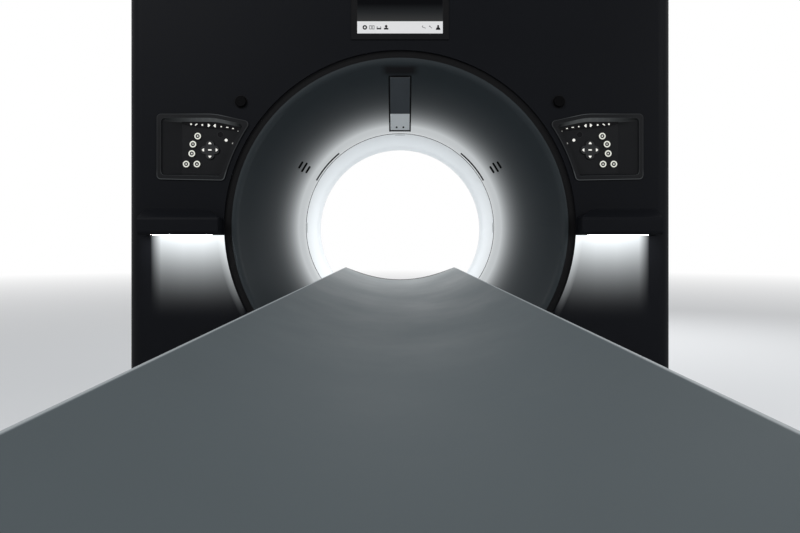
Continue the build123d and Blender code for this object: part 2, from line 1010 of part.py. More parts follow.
def middle_shroud():
    """Middle shroud with the web that ties it to the middle lift columns."""
    shrink = 2 * (shroud_wall + shroud_gap)
    high = stage_levels(1)[1]
    plate = RectangleRounded(
        shroud_width - shrink - shroud_wall,
        shroud_length - shrink - shroud_wall,
        shroud_corner - shrink / 2 - shroud_wall / 2,
    )
    size = column_size(1)
    plate -= repeated(column_places(), Rectangle(size, size))
    web = extrude(Pos(0, table_centre, high - shroud_web) * plate, amount=shroud_web)
    return shroud(1) + web


def lift_columns(stage):
    """One stage of both lift columns."""
    width = column_size(stage)
    low, high = stage_levels(stage)
    outline = Rectangle(width, width) - Rectangle(width - 2 * column_wall, width - 2 * column_wall)
    columns = [extrude(place * outline, amount=high - low) for place in column_places()]
    return Pos(0, table_centre, low) * Compound(columns)


def table_base():
    """Floor plate of the table with anchor holes and the ears of the foot pedal."""
    outline = Pos(0, table_centre) * RectangleRounded(base_width, base_length, base_corner)
    plate = extrude(outline, amount=base_height)
    plate = chamfer(plate.faces().sort_by(Axis.Z)[-1].edges(), length=base_chamfer)
    holes = repeated(GridLocations(anchor_table_x, anchor_table_y, 2, 2), Circle(anchor_hole / 2))
    plate -= extrude(Pos(0, table_centre, -1) * holes, amount=base_height + 2)
    pin_y = table_centre - base_length / 2 + pedal_pin_setback
    for side in (-1, 1):
        near = pedal_width / 2 + pedal_ear_gap
        x_range = sorted((side * near, side * (near + pedal_ear)))
        y_range = (pin_y - pedal_ear_half, pin_y + pedal_ear_half)
        plate += block(x_range, y_range, (base_height, pedal_pin_height + pedal_ear_half))
    bore = pedal_pin_radius + journal_clearance
    return plate - cross_pin(pin_y, pedal_pin_height, bore, pedal_width + 4 * pedal_ear)


def cross_pin(y, z, radius, length):
    """A pin that lies across the table."""
    return Pos(0, y, z) * Rot(0, 90, 0) * Cylinder(radius, length)


def foot_pedal():
    """Foot pedal with its hinge barrel."""
    pin_y = table_centre - base_length / 2 + pedal_pin_setback
    plate_low = pedal_pin_height - pedal_thickness / 2
    plate = block(
        (-pedal_width / 2, pedal_width / 2),
        (pin_y - pedal_length, pin_y),
        (plate_low, plate_low + pedal_thickness),
    )
    ends = plate.edges().filter_by(Axis.Z).group_by(Axis.Y)[0]
    plate = fillet(ends, radius=pedal_corner)
    return plate + cross_pin(pin_y, pedal_pin_height, pedal_pin_radius, pedal_width + 2 * pedal_ear)


def channel_section(inset):
    """Section of the table support, set in from its skin by the inset on three sides."""
    half = support_width / 2 - inset
    bottom = support_bottom + inset
    top = support_top + inset
    slant = support_corner - inset * (2 - sqrt(2))
    section = make_face(Polyline(
        (-half, top),
        (-half, bottom + slant),
        (-half + slant, bottom),
        (half - slant, bottom),
        (half, bottom + slant),
        (half, top),
        close=True,
    ))
    low_corners = [corner for corner in section.vertices() if corner.Y < top - 1]
    return fillet(low_corners, radius=support_corner / 2 - inset)


def table_support():
    """Long channel that carries the cradle, with roller blocks on its floor."""
    body = facing(channel_section(0), (support_back, support_front))
    trough_ends = (support_back + support_wall, support_front - support_wall)
    body -= facing(channel_section(support_wall), trough_ends)
    mouth_half = cradle_width / 2 + support_wall
    body -= block(
        (-mouth_half, mouth_half),
        (support_back - 1, support_front + 1),
        (back_wall_top, support_top + 1),
    )
    for place in roller_places:
        body += roller_blocks(place)
    return body


def roller_blocks(place):
    """Two bearing blocks for one roller."""
    floor = support_bottom + support_wall
    centre = roller_centre()
    blocks = []
    for side in (-1, 1):
        near = roller_half + roller_gap
        x_range = sorted((side * near, side * (near + block_width)))
        y_range = (place - block_length / 2, place + block_length / 2)
        one = block(x_range, y_range, (floor, centre + block_cover))
        blocks.append(one - cross_pin(place, centre, journal_radius + journal_clearance, support_width))
    return blocks


def roller_centre():
    """Height of the roller axes, just under the cradle."""
    return cradle_bottom - roller_gap - roller_radius


def cradle_roller(place):
    """One roller with its journals."""
    barrel = cross_pin(place, roller_centre(), roller_radius, 2 * roller_half)
    return barrel + cross_pin(place, roller_centre(), journal_radius, 2 * (roller_half + journal_reach / 2))


def cradle():
    """Dished cradle with a rounded head end and lugs for the release handle."""
    half = cradle_width / 2
    edge_low = cradle_edge - cradle_edge_thickness
    dish = ThreePointArc((-half, cradle_edge), (0, cradle_trough), (half, cradle_edge))
    under = Polyline(
        (half, cradle_edge),
        (half, edge_low),
        (cradle_flat, cradle_bottom),
        (-cradle_flat, cradle_bottom),
        (-half, edge_low),
        (-half, cradle_edge),
    )
    face = make_face([dish, under])
    rims = [corner for corner in face.vertices() if abs(corner.X) > half - 1]
    face = fillet(rims, radius=cradle_corner)
    body = facing(face, (cradle_foot, cradle_head))
    plan = Rectangle(cradle_width, cradle_head - cradle_foot)
    plan = Pos(0, (cradle_head + cradle_foot) / 2) * plan
    for radius, y in ((head_corner, cradle_head), (foot_corner, cradle_foot)):
        ends = [corner for corner in plan.vertices() if abs(corner.Y - y) < 1]
        plan = fillet(ends, radius=radius)
    body &= extrude(Pos(0, 0, cradle_bottom - 1) * plan, amount=cradle_edge - cradle_bottom + 2)
    for side in (-1, 1):
        near = handle_width / 2 + handle_lug_gap
        x_range = sorted((side * near, side * (near + handle_lug)))
        y_range = (handle_pin_y - handle_lug_half, cradle_foot + handle_lug_root)
        z_range = (handle_pin_z - handle_lug_drop, handle_pin_z + handle_lug_half)
        body += block(x_range, y_range, z_range)
    bore = handle_pin_radius + journal_clearance
    return body - cross_pin(handle_pin_y, handle_pin_z, bore, handle_width + 4 * handle_lug)


def release_handle():
    """Squeeze handle that hangs from its pin behind the cradle's foot end."""
    half = handle_width / 2
    blade = block(
        (-half, half),
        (handle_pin_y - handle_thickness / 2, handle_pin_y + handle_thickness / 2),
        (handle_pin_z - handle_drop, handle_pin_z),
    )
    ends = blade.edges().filter_by(Axis.Y).group_by(Axis.Z)[0]
    blade = fillet(ends, radius=handle_corner)
    barrel = cross_pin(handle_pin_y, handle_pin_z, handle_pin_radius, handle_width + 2 * handle_lug)
    return blade + barrel


def floor_link():
    """Low duct on the floor that carries the cables from the table to the gantry."""
    half = link_width / 2
    profile = make_face(Polyline(
        (-half, 0),
        (-half, link_height - link_chamfer),
        (-half + link_chamfer, link_height),
        (half - link_chamfer, link_height),
        (half, link_height - link_chamfer),
        (half, 0),
        close=True,
    ))
    table_front = table_centre + base_length / 2
    return facing(profile, (table_front, -beam_end + link_overlap))


def gantry_pieces():
    """Every fixed piece of the gantry, by name."""
    panel = control_panel()
    right_ledge = ledge()
    right_lamp = lamp()
    right_side = side_cover()
    return {
        "base_frame": base_frame(),
        "levelling_feet": levelling_feet(),
        "stator_frame": stator_frame(),
        "main_bearing": main_bearing(),
        "drive_motor_coils": drive_coils(),
        "brush_block": brush_block(),
        "power_unit": power_unit(),
        "front_cover": front_cover(),
        "rear_cover": rear_cover(),
        "left_side_cover": mirrored(right_side),
        "right_side_cover": right_side,
        "top_cover": top_cover(),
        "front_bore_flare": front_flare(),
        "rear_bore_flare": flare_solid(flare_wall),
        "front_trim_band": trim_band(),
        "bore_liner": bore_liner(),
        "laser_windows": laser_windows(),
        "display_housing": display_housing(),
        "display_screen": display_screen(),
        "camera_module": camera_module(),
        "left_control_panel": mirrored(panel),
        "right_control_panel": panel,
        "left_ledge": mirrored(right_ledge),
        "right_ledge": right_ledge,
        "ledge_lamps": Compound([right_lamp, mirrored(right_lamp)]),
    }


def rotor_pieces():
    """Every piece that turns about the bore."""
    return {
        "rotor_drum": rotor_drum(),
        "slip_ring": slip_ring(),
        "xray_tube": xray_tube(),
        "collimator": collimator(),
        "detector_array": detector_array(),
        "hv_generator": hv_generator(),
        "heat_exchanger": heat_exchanger(),
    }


def button_pieces():
    """Keys, jog pads and stop buttons on both sides."""
    pieces = {}
    for number, place in enumerate(key_places, start=1):
        key = ring_key(place)
        pieces[f"right_key_{number}"] = key
        pieces[f"left_key_{number}"] = mirrored(key)
    jog = jog_pad()
    stop = stop_button()
    pieces["right_jog_pad"] = jog
    pieces["left_jog_pad"] = mirrored(jog)
    pieces["right_stop_button"] = stop
    pieces["left_stop_button"] = mirrored(stop)
    return pieces


def table_pieces():
    """Every piece of the patient table."""
    return {
        "table_base": table_base(),
        "floor_link": floor_link(),
        "foot_pedal": foot_pedal(),
        "upper_shroud": shroud(0),
        "middle_shroud": middle_shroud(),
        "lower_shroud": shroud(2),
        "inner_lift_columns": lift_columns(0),
        "middle_lift_columns": lift_columns(1),
        "outer_lift_columns": lift_columns(2),
        "table_support": table_support(),
        "front_cradle_roller": cradle_roller(roller_places[0]),
        "rear_cradle_roller": cradle_roller(roller_places[1]),
        "cradle": cradle(),
        "cradle_release_handle": release_handle(),
    }


os.makedirs("parts", exist_ok=True)
for group in (gantry_pieces(), rotor_pieces(), button_pieces(), table_pieces()):
    for name, shape in group.items():
        export(name, shape)
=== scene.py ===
import math

import bmesh
import bpy
from mathutils import Matrix, Vector


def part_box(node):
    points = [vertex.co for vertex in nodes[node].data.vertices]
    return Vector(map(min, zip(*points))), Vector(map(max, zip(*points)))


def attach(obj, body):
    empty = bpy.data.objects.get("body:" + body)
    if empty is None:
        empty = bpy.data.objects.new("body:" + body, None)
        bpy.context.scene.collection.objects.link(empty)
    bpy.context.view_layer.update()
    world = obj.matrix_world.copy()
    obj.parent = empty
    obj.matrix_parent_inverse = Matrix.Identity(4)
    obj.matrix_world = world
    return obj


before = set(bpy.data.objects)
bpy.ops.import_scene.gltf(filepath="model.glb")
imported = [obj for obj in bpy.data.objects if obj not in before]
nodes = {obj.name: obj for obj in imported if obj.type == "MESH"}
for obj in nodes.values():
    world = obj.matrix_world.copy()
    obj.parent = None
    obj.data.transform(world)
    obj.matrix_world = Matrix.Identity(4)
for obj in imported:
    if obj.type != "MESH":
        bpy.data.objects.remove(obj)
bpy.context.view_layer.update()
mm = 0.001
boreHeight = 1.07                      # of the bore's axis above the floor, in metres
coverFront = -0.5                      # y of the front cover's face
bothSides = {"left": -1, "right": 1}   # which way the signs of each side point
keyNames = [f"{side}_key_{number}" for side in bothSides for number in range(1, 6)]
print("frame loaded")


# Small helpers for node trees.

def addInputs(tree, inputs):
    # named inputs, each with the kind of socket that its value asks for, where None stands for a material
    kinds = {int: "Int", float: "Float", type(None): "Material"}
    for label, value in inputs.items():
        if isinstance(value, tuple):
            kind = "Vector" if len(value) == 3 else "Color"
        else:
            kind = kinds[type(value)]
        socket = tree.interface.new_socket(name=label, in_out="INPUT", socket_type="NodeSocket" + kind)
        if value is not None:
            socket.default_value = value


def feed(tree, node, values):
    # sets each input to a value, or links it to a socket
    for key, value in values.items():
        if isinstance(value, bpy.types.NodeSocket):
            tree.links.new(value, node.inputs[key])
        else:
            node.inputs[key].default_value = value


def addNode(tree, kind, values=None, **settings):
    # a node with its settings and with what goes into its inputs
    node = tree.nodes.new(kind)
    for key, value in settings.items():
        setattr(node, key, value)
    feed(tree, node, values or {})
    return node


def mapRange(tree, source, fromLow, fromHigh, toLow, toHigh):
    # a socket's values carried from one range to another, and held at its ends
    values = {0: source, 1: fromLow, 2: fromHigh, 3: toLow, 4: toHigh}
    return addNode(tree, "ShaderNodeMapRange", values).outputs[0]


def rising(tree, source, span):
    # mask that goes from 0 to 1 over a span
    return mapRange(tree, source, *span, 0.0, 1.0)


def falling(tree, source, span):
    # mask that goes from 1 to 0 over a span
    return mapRange(tree, source, *span, 1.0, 0.0)


def combine(tree, operation, first, second):
    # one Math node on sockets or numbers
    return addNode(tree, "ShaderNodeMath", {0: first, 1: second}, operation=operation).outputs[0]


def shaded(tree, colour, factor):
    # colour times a grey factor
    values = {0: colour, "Scale": factor}
    return addNode(tree, "ShaderNodeVectorMath", values, operation="SCALE").outputs[0]


def objectPlace(tree):
    # the object's own coordinates
    return tree.nodes.new("ShaderNodeTexCoord").outputs["Object"]


def noiseOver(tree, place, scale, values):
    # noise over some coordinates
    values = dict(values, Vector=place, Scale=scale)
    return addNode(tree, "ShaderNodeTexNoise", values).outputs["Fac"]


# Shader groups. Each effect is built once and placed in the materials with its own values.

def newGroup(name, inputs):
    # every group gives a surface its colour, roughness and height
    group = bpy.data.node_groups.new(name, "ShaderNodeTree")
    addInputs(group, inputs)
    for label, kind in (("Color", "Color"), ("Roughness", "Float"), ("Height", "Float")):
        group.interface.new_socket(name=label, in_out="OUTPUT", socket_type="NodeSocket" + kind)
    return group, group.nodes.new("NodeGroupInput").outputs, objectPlace(group)


def closeGroup(group, given, factor, mask, span, height):
    # the colour times a factor, the roughness between its two values over a mask's span, and the height
    rough = mapRange(group, mask, *span, given["Rough Low"], given["Rough High"])
    feed(group, group.nodes.new("NodeGroupOutput"), {
        "Color": shaded(group, given["Base Color"], factor), "Roughness": rough, "Height": height})
    return group


def mouldedSkinGroup():
    # moulded and painted skins: broad mottle, fine orange peel, uneven gloss
    group, given, place = newGroup("mouldedSkin", {
        "Base Color": (0.5, 0.5, 0.5, 1), "Mottle": 0.05, "Mottle Scale": 3.0, "Grain Scale": 700.0,
        "Grain Height": 0.3, "Rough Low": 0.35, "Rough High": 0.5})
    span = (0.3, 0.7)
    broad = noiseOver(group, place, given["Mottle Scale"], {"Detail": 5, "Roughness": 0.6})
    fine = noiseOver(group, place, given["Grain Scale"], {"Detail": 2, "Roughness": 0.5})
    low, high = [combine(group, way, 1, given["Mottle"]) for way in ("SUBTRACT", "ADD")]
    factor = mapRange(group, broad, *span, low, high)
    height = combine(group, "MULTIPLY", fine, given["Grain Height"])
    return closeGroup(group, given, factor, broad, span, height)


def toolMarksGroup():
    # turned, ground or drawn metal: fine lines along one direction
    group, given, place = newGroup("toolMarks", {
        "Base Color": (0.6, 0.6, 0.6, 1), "Stretch": (1, 1, 40), "Line Scale": 30.0, "Contrast": 0.12,
        "Rough Low": 0.25, "Rough High": 0.4})
    span = (0.3, 0.7)
    stretched = addNode(group, "ShaderNodeVectorMath", {0: place, 1: given["Stretch"]}, operation="MULTIPLY")
    lines = noiseOver(group, stretched.outputs[0], given["Line Scale"], {"Detail": 6, "Roughness": 0.7})
    factor = mapRange(group, lines, *span, combine(group, "SUBTRACT", 1, given["Contrast"]), 1.0)
    return closeGroup(group, given, factor, lines, span, lines)


def wipedGlossGroup():
    # glossy panels that are wiped every day: long faint smears in the gloss
    group, given, place = newGroup("wipedGloss", {
        "Base Color": (0.01, 0.01, 0.01, 1), "Smear Scale": 5.0, "Rough Low": 0.08, "Rough High": 0.22})
    span = (0.35, 0.7)
    stretched = addNode(group, "ShaderNodeMapping", {
        "Vector": place, "Rotation": (0, 0.6, 0), "Scale": (1, 1, 7)})
    smears = noiseOver(group, stretched.outputs[0], given["Smear Scale"],
                       {"Detail": 7, "Roughness": 0.6, "Distortion": 0.8})
    factor = mapRange(group, smears, *span, 0.97, 1.05)
    return closeGroup(group, given, factor, smears, span, smears)


def knurlGroup():
    # rubber and cloth: small round bumps in rows
    group, given, place = newGroup("knurl", {
        "Base Color": (0.02, 0.02, 0.02, 1), "Knurl Scale": 250.0, "Shade": 0.5, "Rough Low": 0.6,
        "Rough High": 0.8})
    span = (0.1, 0.6)
    bumps = addNode(group, "ShaderNodeTexVoronoi", {
        "Vector": place, "Scale": given["Knurl Scale"], "Randomness": 0.0})
    distance = bumps.outputs["Distance"]
    factor = mapRange(group, distance, *span, 1.0, given["Shade"])
    return closeGroup(group, given, factor, distance, span, falling(group, distance, span))


groups = {
    "mouldedSkin": mouldedSkinGroup(),
    "toolMarks": toolMarksGroup(),
    "wipedGloss": wipedGlossGroup(),
    "knurl": knurlGroup(),
}


def finish(name, groupName, surface, shader=None, bump=0.1, bumpDepth=0.0002):
    # a material whose colour, gloss and relief come from one shader group
    material = bpy.data.materials.new(name)
    material.use_nodes = True
    tree = material.node_tree
    colour = (*surface["Base Color"], 1)
    skin = addNode(tree, "ShaderNodeGroup", {**surface, "Base Color": colour}, node_tree=groups[groupName])
    relief = addNode(tree, "ShaderNodeBump", {
        "Strength": bump, "Distance": bumpDepth, "Height": skin.outputs["Height"]})
    feed(tree, tree.nodes["Principled BSDF"], {
        **(shader or {}), "Base Color": skin.outputs["Color"], "Roughness": skin.outputs["Roughness"],
        "Normal": relief.outputs["Normal"]})
    return material


def objectAxis(tree, axis):
    # one axis of the object's own coordinates
    return addNode(tree, "ShaderNodeSeparateXYZ", {0: objectPlace(tree)}).outputs[axis]


def mixColour(tree, mask, colour):
    # mixes another colour into the base colour, by a mask
    base = tree.nodes["Principled BSDF"].inputs["Base Color"]
    values = {"Factor": mask, 6: base.links[0].from_socket, 7: (*colour, 1)}
    mix = addNode(tree, "ShaderNodeMix", values, data_type="RGBA")
    tree.links.new(mix.outputs[2], base)


def allOf(tree, parts):
    # the product of several masks
    mask = parts[0]
    for part in parts[1:]:
        mask = combine(tree, "MULTIPLY", mask, part)
    return mask


def distanceFrom(tree, source, value=0.0):
    # how far a coordinate is from a value
    return combine(tree, "ABSOLUTE", combine(tree, "SUBTRACT", source, value), 0)


def inverse(tree, mask):
    # one minus a mask
    return combine(tree, "SUBTRACT", 1.0, mask)


def boreDistance(tree):
    # how far a point lies from the bore's axis
    flat = addNode(tree, "ShaderNodeMapping", {
        "Vector": objectPlace(tree), "Location": (0, 0, -boreHeight), "Scale": (1, 0, 1)})
    return addNode(tree, "ShaderNodeVectorMath", {0: flat.outputs[0]}, operation="LENGTH").outputs["Value"]


cameraPlace = {
    "halfWidth": 0.04,
    "halfLength": 0.1262,
    "gap": 0.005,
    "slope": (0, -0.68, 0.733),      # up the flare's straight part
    "middle": 1.4013,                # how far up it the module's middle lies
    "soft": 0.0002,                  # half the width of its outline's soft edge
}


def upTheSlope(tree):
    # how far a point lies up the straight part of the flare
    values = {0: objectPlace(tree), 1: cameraPlace["slope"]}
    return addNode(tree, "ShaderNodeVectorMath", values, operation="DOT_PRODUCT").outputs["Value"]


def outsideCamera(tree, growth):
    # mask of what lies outside the camera module's outline, grown by a margin
    soft = cameraPlace["soft"]
    sides = ((objectAxis(tree, "X"), 0.0, cameraPlace["halfWidth"] + growth),
             (upTheSlope(tree), cameraPlace["middle"], cameraPlace["halfLength"] + growth))
    outside = [rising(tree, distanceFrom(tree, source, middle), (edge - soft, edge + soft))
               for source, middle, edge in sides]
    return combine(tree, "MAXIMUM", *outside)


def glow(tree, mask, colour):
    # light thrown on a surface by a lamp beside it, as an emission colour times a mask
    tint = addNode(tree, "ShaderNodeCombineXYZ", dict(zip("XYZ", colour)))
    feed(tree, tree.nodes["Principled BSDF"], {"Emission Color": shaded(tree, tint.outputs[0], mask)})


def lit(name, colour, strength, spread=0.12, scale=220, base=0.5):
    # a lit sign behind a diffuser: the colour is a little uneven over it
    material = finish(name, "mouldedSkin", {
        "Base Color": (base, base, base), "Mottle": spread, "Mottle Scale": scale, "Grain Scale": 1500,
        "Rough Low": 0.35, "Rough High": 0.5}, {"Emission Strength": strength})
    tree = material.node_tree
    noise = noiseOver(tree, objectPlace(tree), scale, {"Detail": 2})
    ramp = addNode(tree, "ShaderNodeValToRGB", {0: noise})
    dull, full = ramp.color_ramp.elements
    dull.position = 0.3
    dull.color = (*[part * (1 - spread) for part in colour], 1)
    full.position = 0.7
    full.color = (*colour, 1)
    feed(tree, tree.nodes["Principled BSDF"], {"Emission Color": ramp.outputs["Color"]})
    return material


# Finishes of the casing and the bore.

coverLook = {
    "colour": (0.0047, 0.0052, 0.0066),
    "sideColour": (0.014, 0.0148, 0.0168),
    "sideFrom": (-0.485, -0.455),            # y over which the colour changes
    "roughLow": 0.42,
    "roughHigh": 0.54,
    "spillColour": (0.93, 0.98, 1.0),
    "spillStrength": 1.3,
    "spillSide": (0.925, 0.965),             # where the pool fades out towards the side
    "spillInner": (0.6, 0.66),               # and where it begins beside the flare
    "spillHeight": (0.69, 1.034),
    "spillPower": 2.9,
    "spillMiddle": 0.8,                      # where it is brightest
    "spillAcross": (0.04, 0.19, 1.0, 0.72),  # two distances from there, and the light's share at each
    "spillDepth": (-0.4995, -0.499),
    "rimGlow": 0.15,
    "rimReach": (0.684, 0.709),              # distances from the bore's axis
    "rimHeight": (0.66, 0.8),
}


def lampSpill(tree):
    # mask of the pool of light that the ledge lamps throw on the front cover
    look = coverLook
    side = distanceFrom(tree, objectAxis(tree, "X"))
    height = objectAxis(tree, "Z")
    top = look["spillHeight"][1]
    fall = combine(tree, "POWER", rising(tree, height, look["spillHeight"]), look["spillPower"])
    across = mapRange(tree, distanceFrom(tree, side, look["spillMiddle"]), *look["spillAcross"])
    # brighter along the band round the flare
    rim = allOf(tree, [falling(tree, boreDistance(tree), look["rimReach"]),
                       rising(tree, height, look["rimHeight"])])
    rimLight = combine(tree, "MULTIPLY", rim, look["rimGlow"])
    total = combine(tree, "ADD", allOf(tree, [fall, across]), rimLight)
    return allOf(tree, [
        total,
        falling(tree, side, look["spillSide"]),
        rising(tree, side, look["spillInner"]),
        falling(tree, height, (top, top + mm)),
        falling(tree, objectAxis(tree, "Y"), look["spillDepth"])])


def coverShellMaterial():
    # near black at the front, a little paler round the sides
    material = finish("coverShell", "mouldedSkin", {
        "Base Color": coverLook["colour"], "Mottle": 0.07, "Mottle Scale": 1.6, "Grain Scale": 650,
        "Grain Height": 0.5, "Rough Low": coverLook["roughLow"], "Rough High": coverLook["roughHigh"]},
        {"Specular IOR Level": 0.035, "Emission Strength": coverLook["spillStrength"]}, bump=0.12)
    tree = material.node_tree
    sides = rising(tree, objectAxis(tree, "Y"), coverLook["sideFrom"])
    mixColour(tree, sides, coverLook["sideColour"])
    glow(tree, lampSpill(tree), coverLook["spillColour"])
    return material


coverShell = coverShellMaterial()
casingShell = finish("casingShell", "mouldedSkin", {
    "Base Color": (0.011, 0.0116, 0.0132), "Mottle": 0.07, "Mottle Scale": 1.6, "Grain Scale": 650,
    "Grain Height": 0.5, "Rough Low": 0.42, "Rough High": 0.54}, {"Specular IOR Level": 0.14}, bump=0.12)

flareLook = {
    "colour": (0.0142, 0.0188, 0.0218),
    "lipReach": (0.402, 0.6),                # distances from the bore's axis
    "spillColour": (0.94, 0.98, 1.0),
    "spillStrength": 1.0,
    "spillNear": (0.97, 6.0),                # strength and power of the steep fall
    "spillFar": (0.055, 1.5),                # and of the slow one
    "spillMost": 0.54,
    "frontHalf": (-0.01, 0.0),
    "shadeColour": (0.004, 0.004, 0.005),
    "shadeHalfWidth": (0.05, 0.078),
    "shadeHeight": (1.679, 0.007, 0.019),    # its middle, and where its fade starts and ends
    "gapShadeColour": (0.001, 0.001, 0.0012),
    "gapMargin": 0.0006,
}


def flareShellMaterial():
    # painted light from the bore, with a soft painted shadow over the camera and painted shade, near black,
    # in the gap round it
    look = flareLook
    material = finish("flareShell", "mouldedSkin", {
        "Base Color": look["colour"], "Mottle": 0.05, "Mottle Scale": 2.2, "Grain Scale": 800,
        "Grain Height": 0.4, "Rough Low": 0.42, "Rough High": 0.52},
        {"Specular IOR Level": 0.15, "Emission Strength": look["spillStrength"]}, bump=0.1)
    tree = material.node_tree
    lip = falling(tree, boreDistance(tree), look["lipReach"])
    near, far = [combine(tree, "MULTIPLY", combine(tree, "POWER", lip, power), strength)
                 for strength, power in (look["spillNear"], look["spillFar"])]
    spill = combine(tree, "MINIMUM", combine(tree, "ADD", near, far), look["spillMost"])
    front = falling(tree, objectAxis(tree, "Y"), look["frontHalf"])
    nearCamera = inverse(tree, outsideCamera(tree, cameraPlace["gap"] + look["gapMargin"]))
    gapWall = allOf(tree, [nearCamera, front])
    glow(tree, allOf(tree, [spill, inverse(tree, gapWall)]), look["spillColour"])
    middle, *fade = look["shadeHeight"]
    shade = allOf(tree, [
        falling(tree, distanceFrom(tree, objectAxis(tree, "X")), look["shadeHalfWidth"]),
        falling(tree, distanceFrom(tree, objectAxis(tree, "Z"), middle), fade), front])
    mixColour(tree, shade, look["shadeColour"])
    # painted shade in the gap round the camera module
    mixColour(tree, gapWall, look["gapShadeColour"])
    return material


flareShell = flareShellMaterial()
blackTrim = finish("blackTrim", "mouldedSkin", {
    "Base Color": (0.0045, 0.0045, 0.005), "Mottle": 0.08, "Mottle Scale": 4, "Grain Scale": 900,
    "Grain Height": 0.6, "Rough Low": 0.5, "Rough High": 0.65}, {"Specular IOR Level": 0.06}, bump=0.15)

tunnelLook = {
    "colour": (0.62, 0.648, 0.665),
    "glowColour": (0.92, 0.97, 1.0),
    "glowDepth": (-0.25, 0.25),
    "glowShare": (0.04, 0.31),
}


def tunnelWhiteMaterial():
    # painted light: an emission makes the tunnel glow, and its far end a little brighter than the near one
    look = tunnelLook
    material = finish("tunnelWhite", "mouldedSkin", {
        "Base Color": look["colour"], "Mottle": 0.02, "Mottle Scale": 3, "Grain Scale": 900,
        "Grain Height": 0.3, "Rough Low": 0.4, "Rough High": 0.5},
        {"Specular IOR Level": 0.3, "Emission Strength": 1.0}, bump=0.06)
    tree = material.node_tree
    # painted light: the emission grows from the near end of the tunnel to the far one
    share = mapRange(tree, objectAxis(tree, "Y"), *look["glowDepth"], *look["glowShare"])
    glow(tree, share, look["glowColour"])
    return material


tunnelWhite = tunnelWhiteMaterial()
blackGloss = finish("blackGloss", "wipedGloss", {
    "Base Color": (0.006, 0.006, 0.0075), "Smear Scale": 6}, {"Specular IOR Level": 0.2}, bump=0.02)

windowLook = {
    "arcColour": (0.003, 0.003, 0.0036),
    "portColour": (0.32, 0.335, 0.345),
    "portsFrom": (-0.245, -0.24),
}


def windowBlackMaterial():
    # black arcs on the lip, grey ports in the tunnel
    material = finish("windowBlack", "wipedGloss", {
        "Base Color": windowLook["arcColour"], "Smear Scale": 9, "Rough Low": 0.5, "Rough High": 0.6},
        {"Specular IOR Level": 0.03}, bump=0.02)
    tree = material.node_tree
    ports = rising(tree, objectAxis(tree, "Y"), windowLook["portsFrom"])
    mixColour(tree, ports, windowLook["portColour"])
    return material


windowBlack = windowBlackMaterial()

panelLook = {
    "colour": (0.006, 0.0064, 0.0074),
    "sheenColour": (0.9, 0.97, 1.0),
    "sheenStrength": 0.062,
    "wallDepth": (-0.5075, -0.4745),
    "wallFoot": ((0.56, 1.4372), (0.716, 1.4757)),   # x and z of the two ends of its lower line
    "wallFade": (0.925, 0.76),
    "wallEnd": (0.615, 0.68),
    "edgeDepth": (-0.5078, -0.505),
    "edgeHeight": (1.275, 1.29),
    "edgeShare": (1.0, 0.42),
}


def band(tree, source, low, high, edge=0.0002):
    # mask that is 1 where a coordinate lies between two values
    return allOf(tree, [rising(tree, source, (low, low + edge)), falling(tree, source, (high - edge, high))])


def panelTrayMaterial():
    # the leaning top wall and the edges of the rim catch the light of the signs
    look = panelLook
    material = finish("panelTray", "wipedGloss", {
        "Base Color": look["colour"], "Smear Scale": 4, "Rough Low": 0.3, "Rough High": 0.38},
        {"Specular IOR Level": 0.08, "Emission Strength": look["sheenStrength"]}, bump=0.02)
    tree = material.node_tree
    depth = objectAxis(tree, "Y")
    side = distanceFrom(tree, objectAxis(tree, "X"))
    (nearX, nearZ), (bendX, bendZ) = look["wallFoot"]
    over = combine(tree, "SUBTRACT", objectAxis(tree, "Z"), mapRange(tree, side, nearX, bendX, nearZ, bendZ))
    wall = allOf(tree, [
        band(tree, depth, *look["wallDepth"]), rising(tree, over, (0.0, mm)),
        rising(tree, side, look["wallFade"]), rising(tree, side, look["wallEnd"])])
    edges = allOf(tree, [band(tree, depth, *look["edgeDepth"]),
                         mapRange(tree, objectAxis(tree, "Z"), *look["edgeHeight"], *look["edgeShare"])])
    glow(tree, combine(tree, "MAXIMUM", wall, edges), look["sheenColour"])
    return material


panelTray = panelTrayMaterial()
stripGloss = finish("stripGloss", "wipedGloss", {
    "Base Color": (0.003, 0.003, 0.004), "Smear Scale": 14, "Rough Low": 0.12, "Rough High": 0.2},
    {"Specular IOR Level": 0.08}, bump=0.02)
keyCap = finish("keyCap", "mouldedSkin", {
    "Base Color": (0.013, 0.0138, 0.015), "Mottle": 0.08, "Mottle Scale": 40, "Grain Scale": 1500,
    "Rough Low": 0.34, "Rough High": 0.44}, {"Specular IOR Level": 0.15}, bump=0.1)
stopCap = finish("stopCap", "mouldedSkin", {
    "Base Color": (0.0014, 0.0014, 0.0017), "Mottle": 0.1, "Mottle Scale": 30, "Grain Scale": 1200,
    "Rough Low": 0.38, "Rough High": 0.5}, {"Specular IOR Level": 0.025}, bump=0.1)

cameraLook = {
    "colour": (0.034, 0.04, 0.046),
    "windowColour": (0.5, 0.53, 0.545),
    "windowTop": (1.5335, 1.5345),
    "edgeShadeColour": (0.002, 0.002, 0.0024),
    "edge": 0.0006,
    "footShadeLine": (0.0084, 0.009),
}


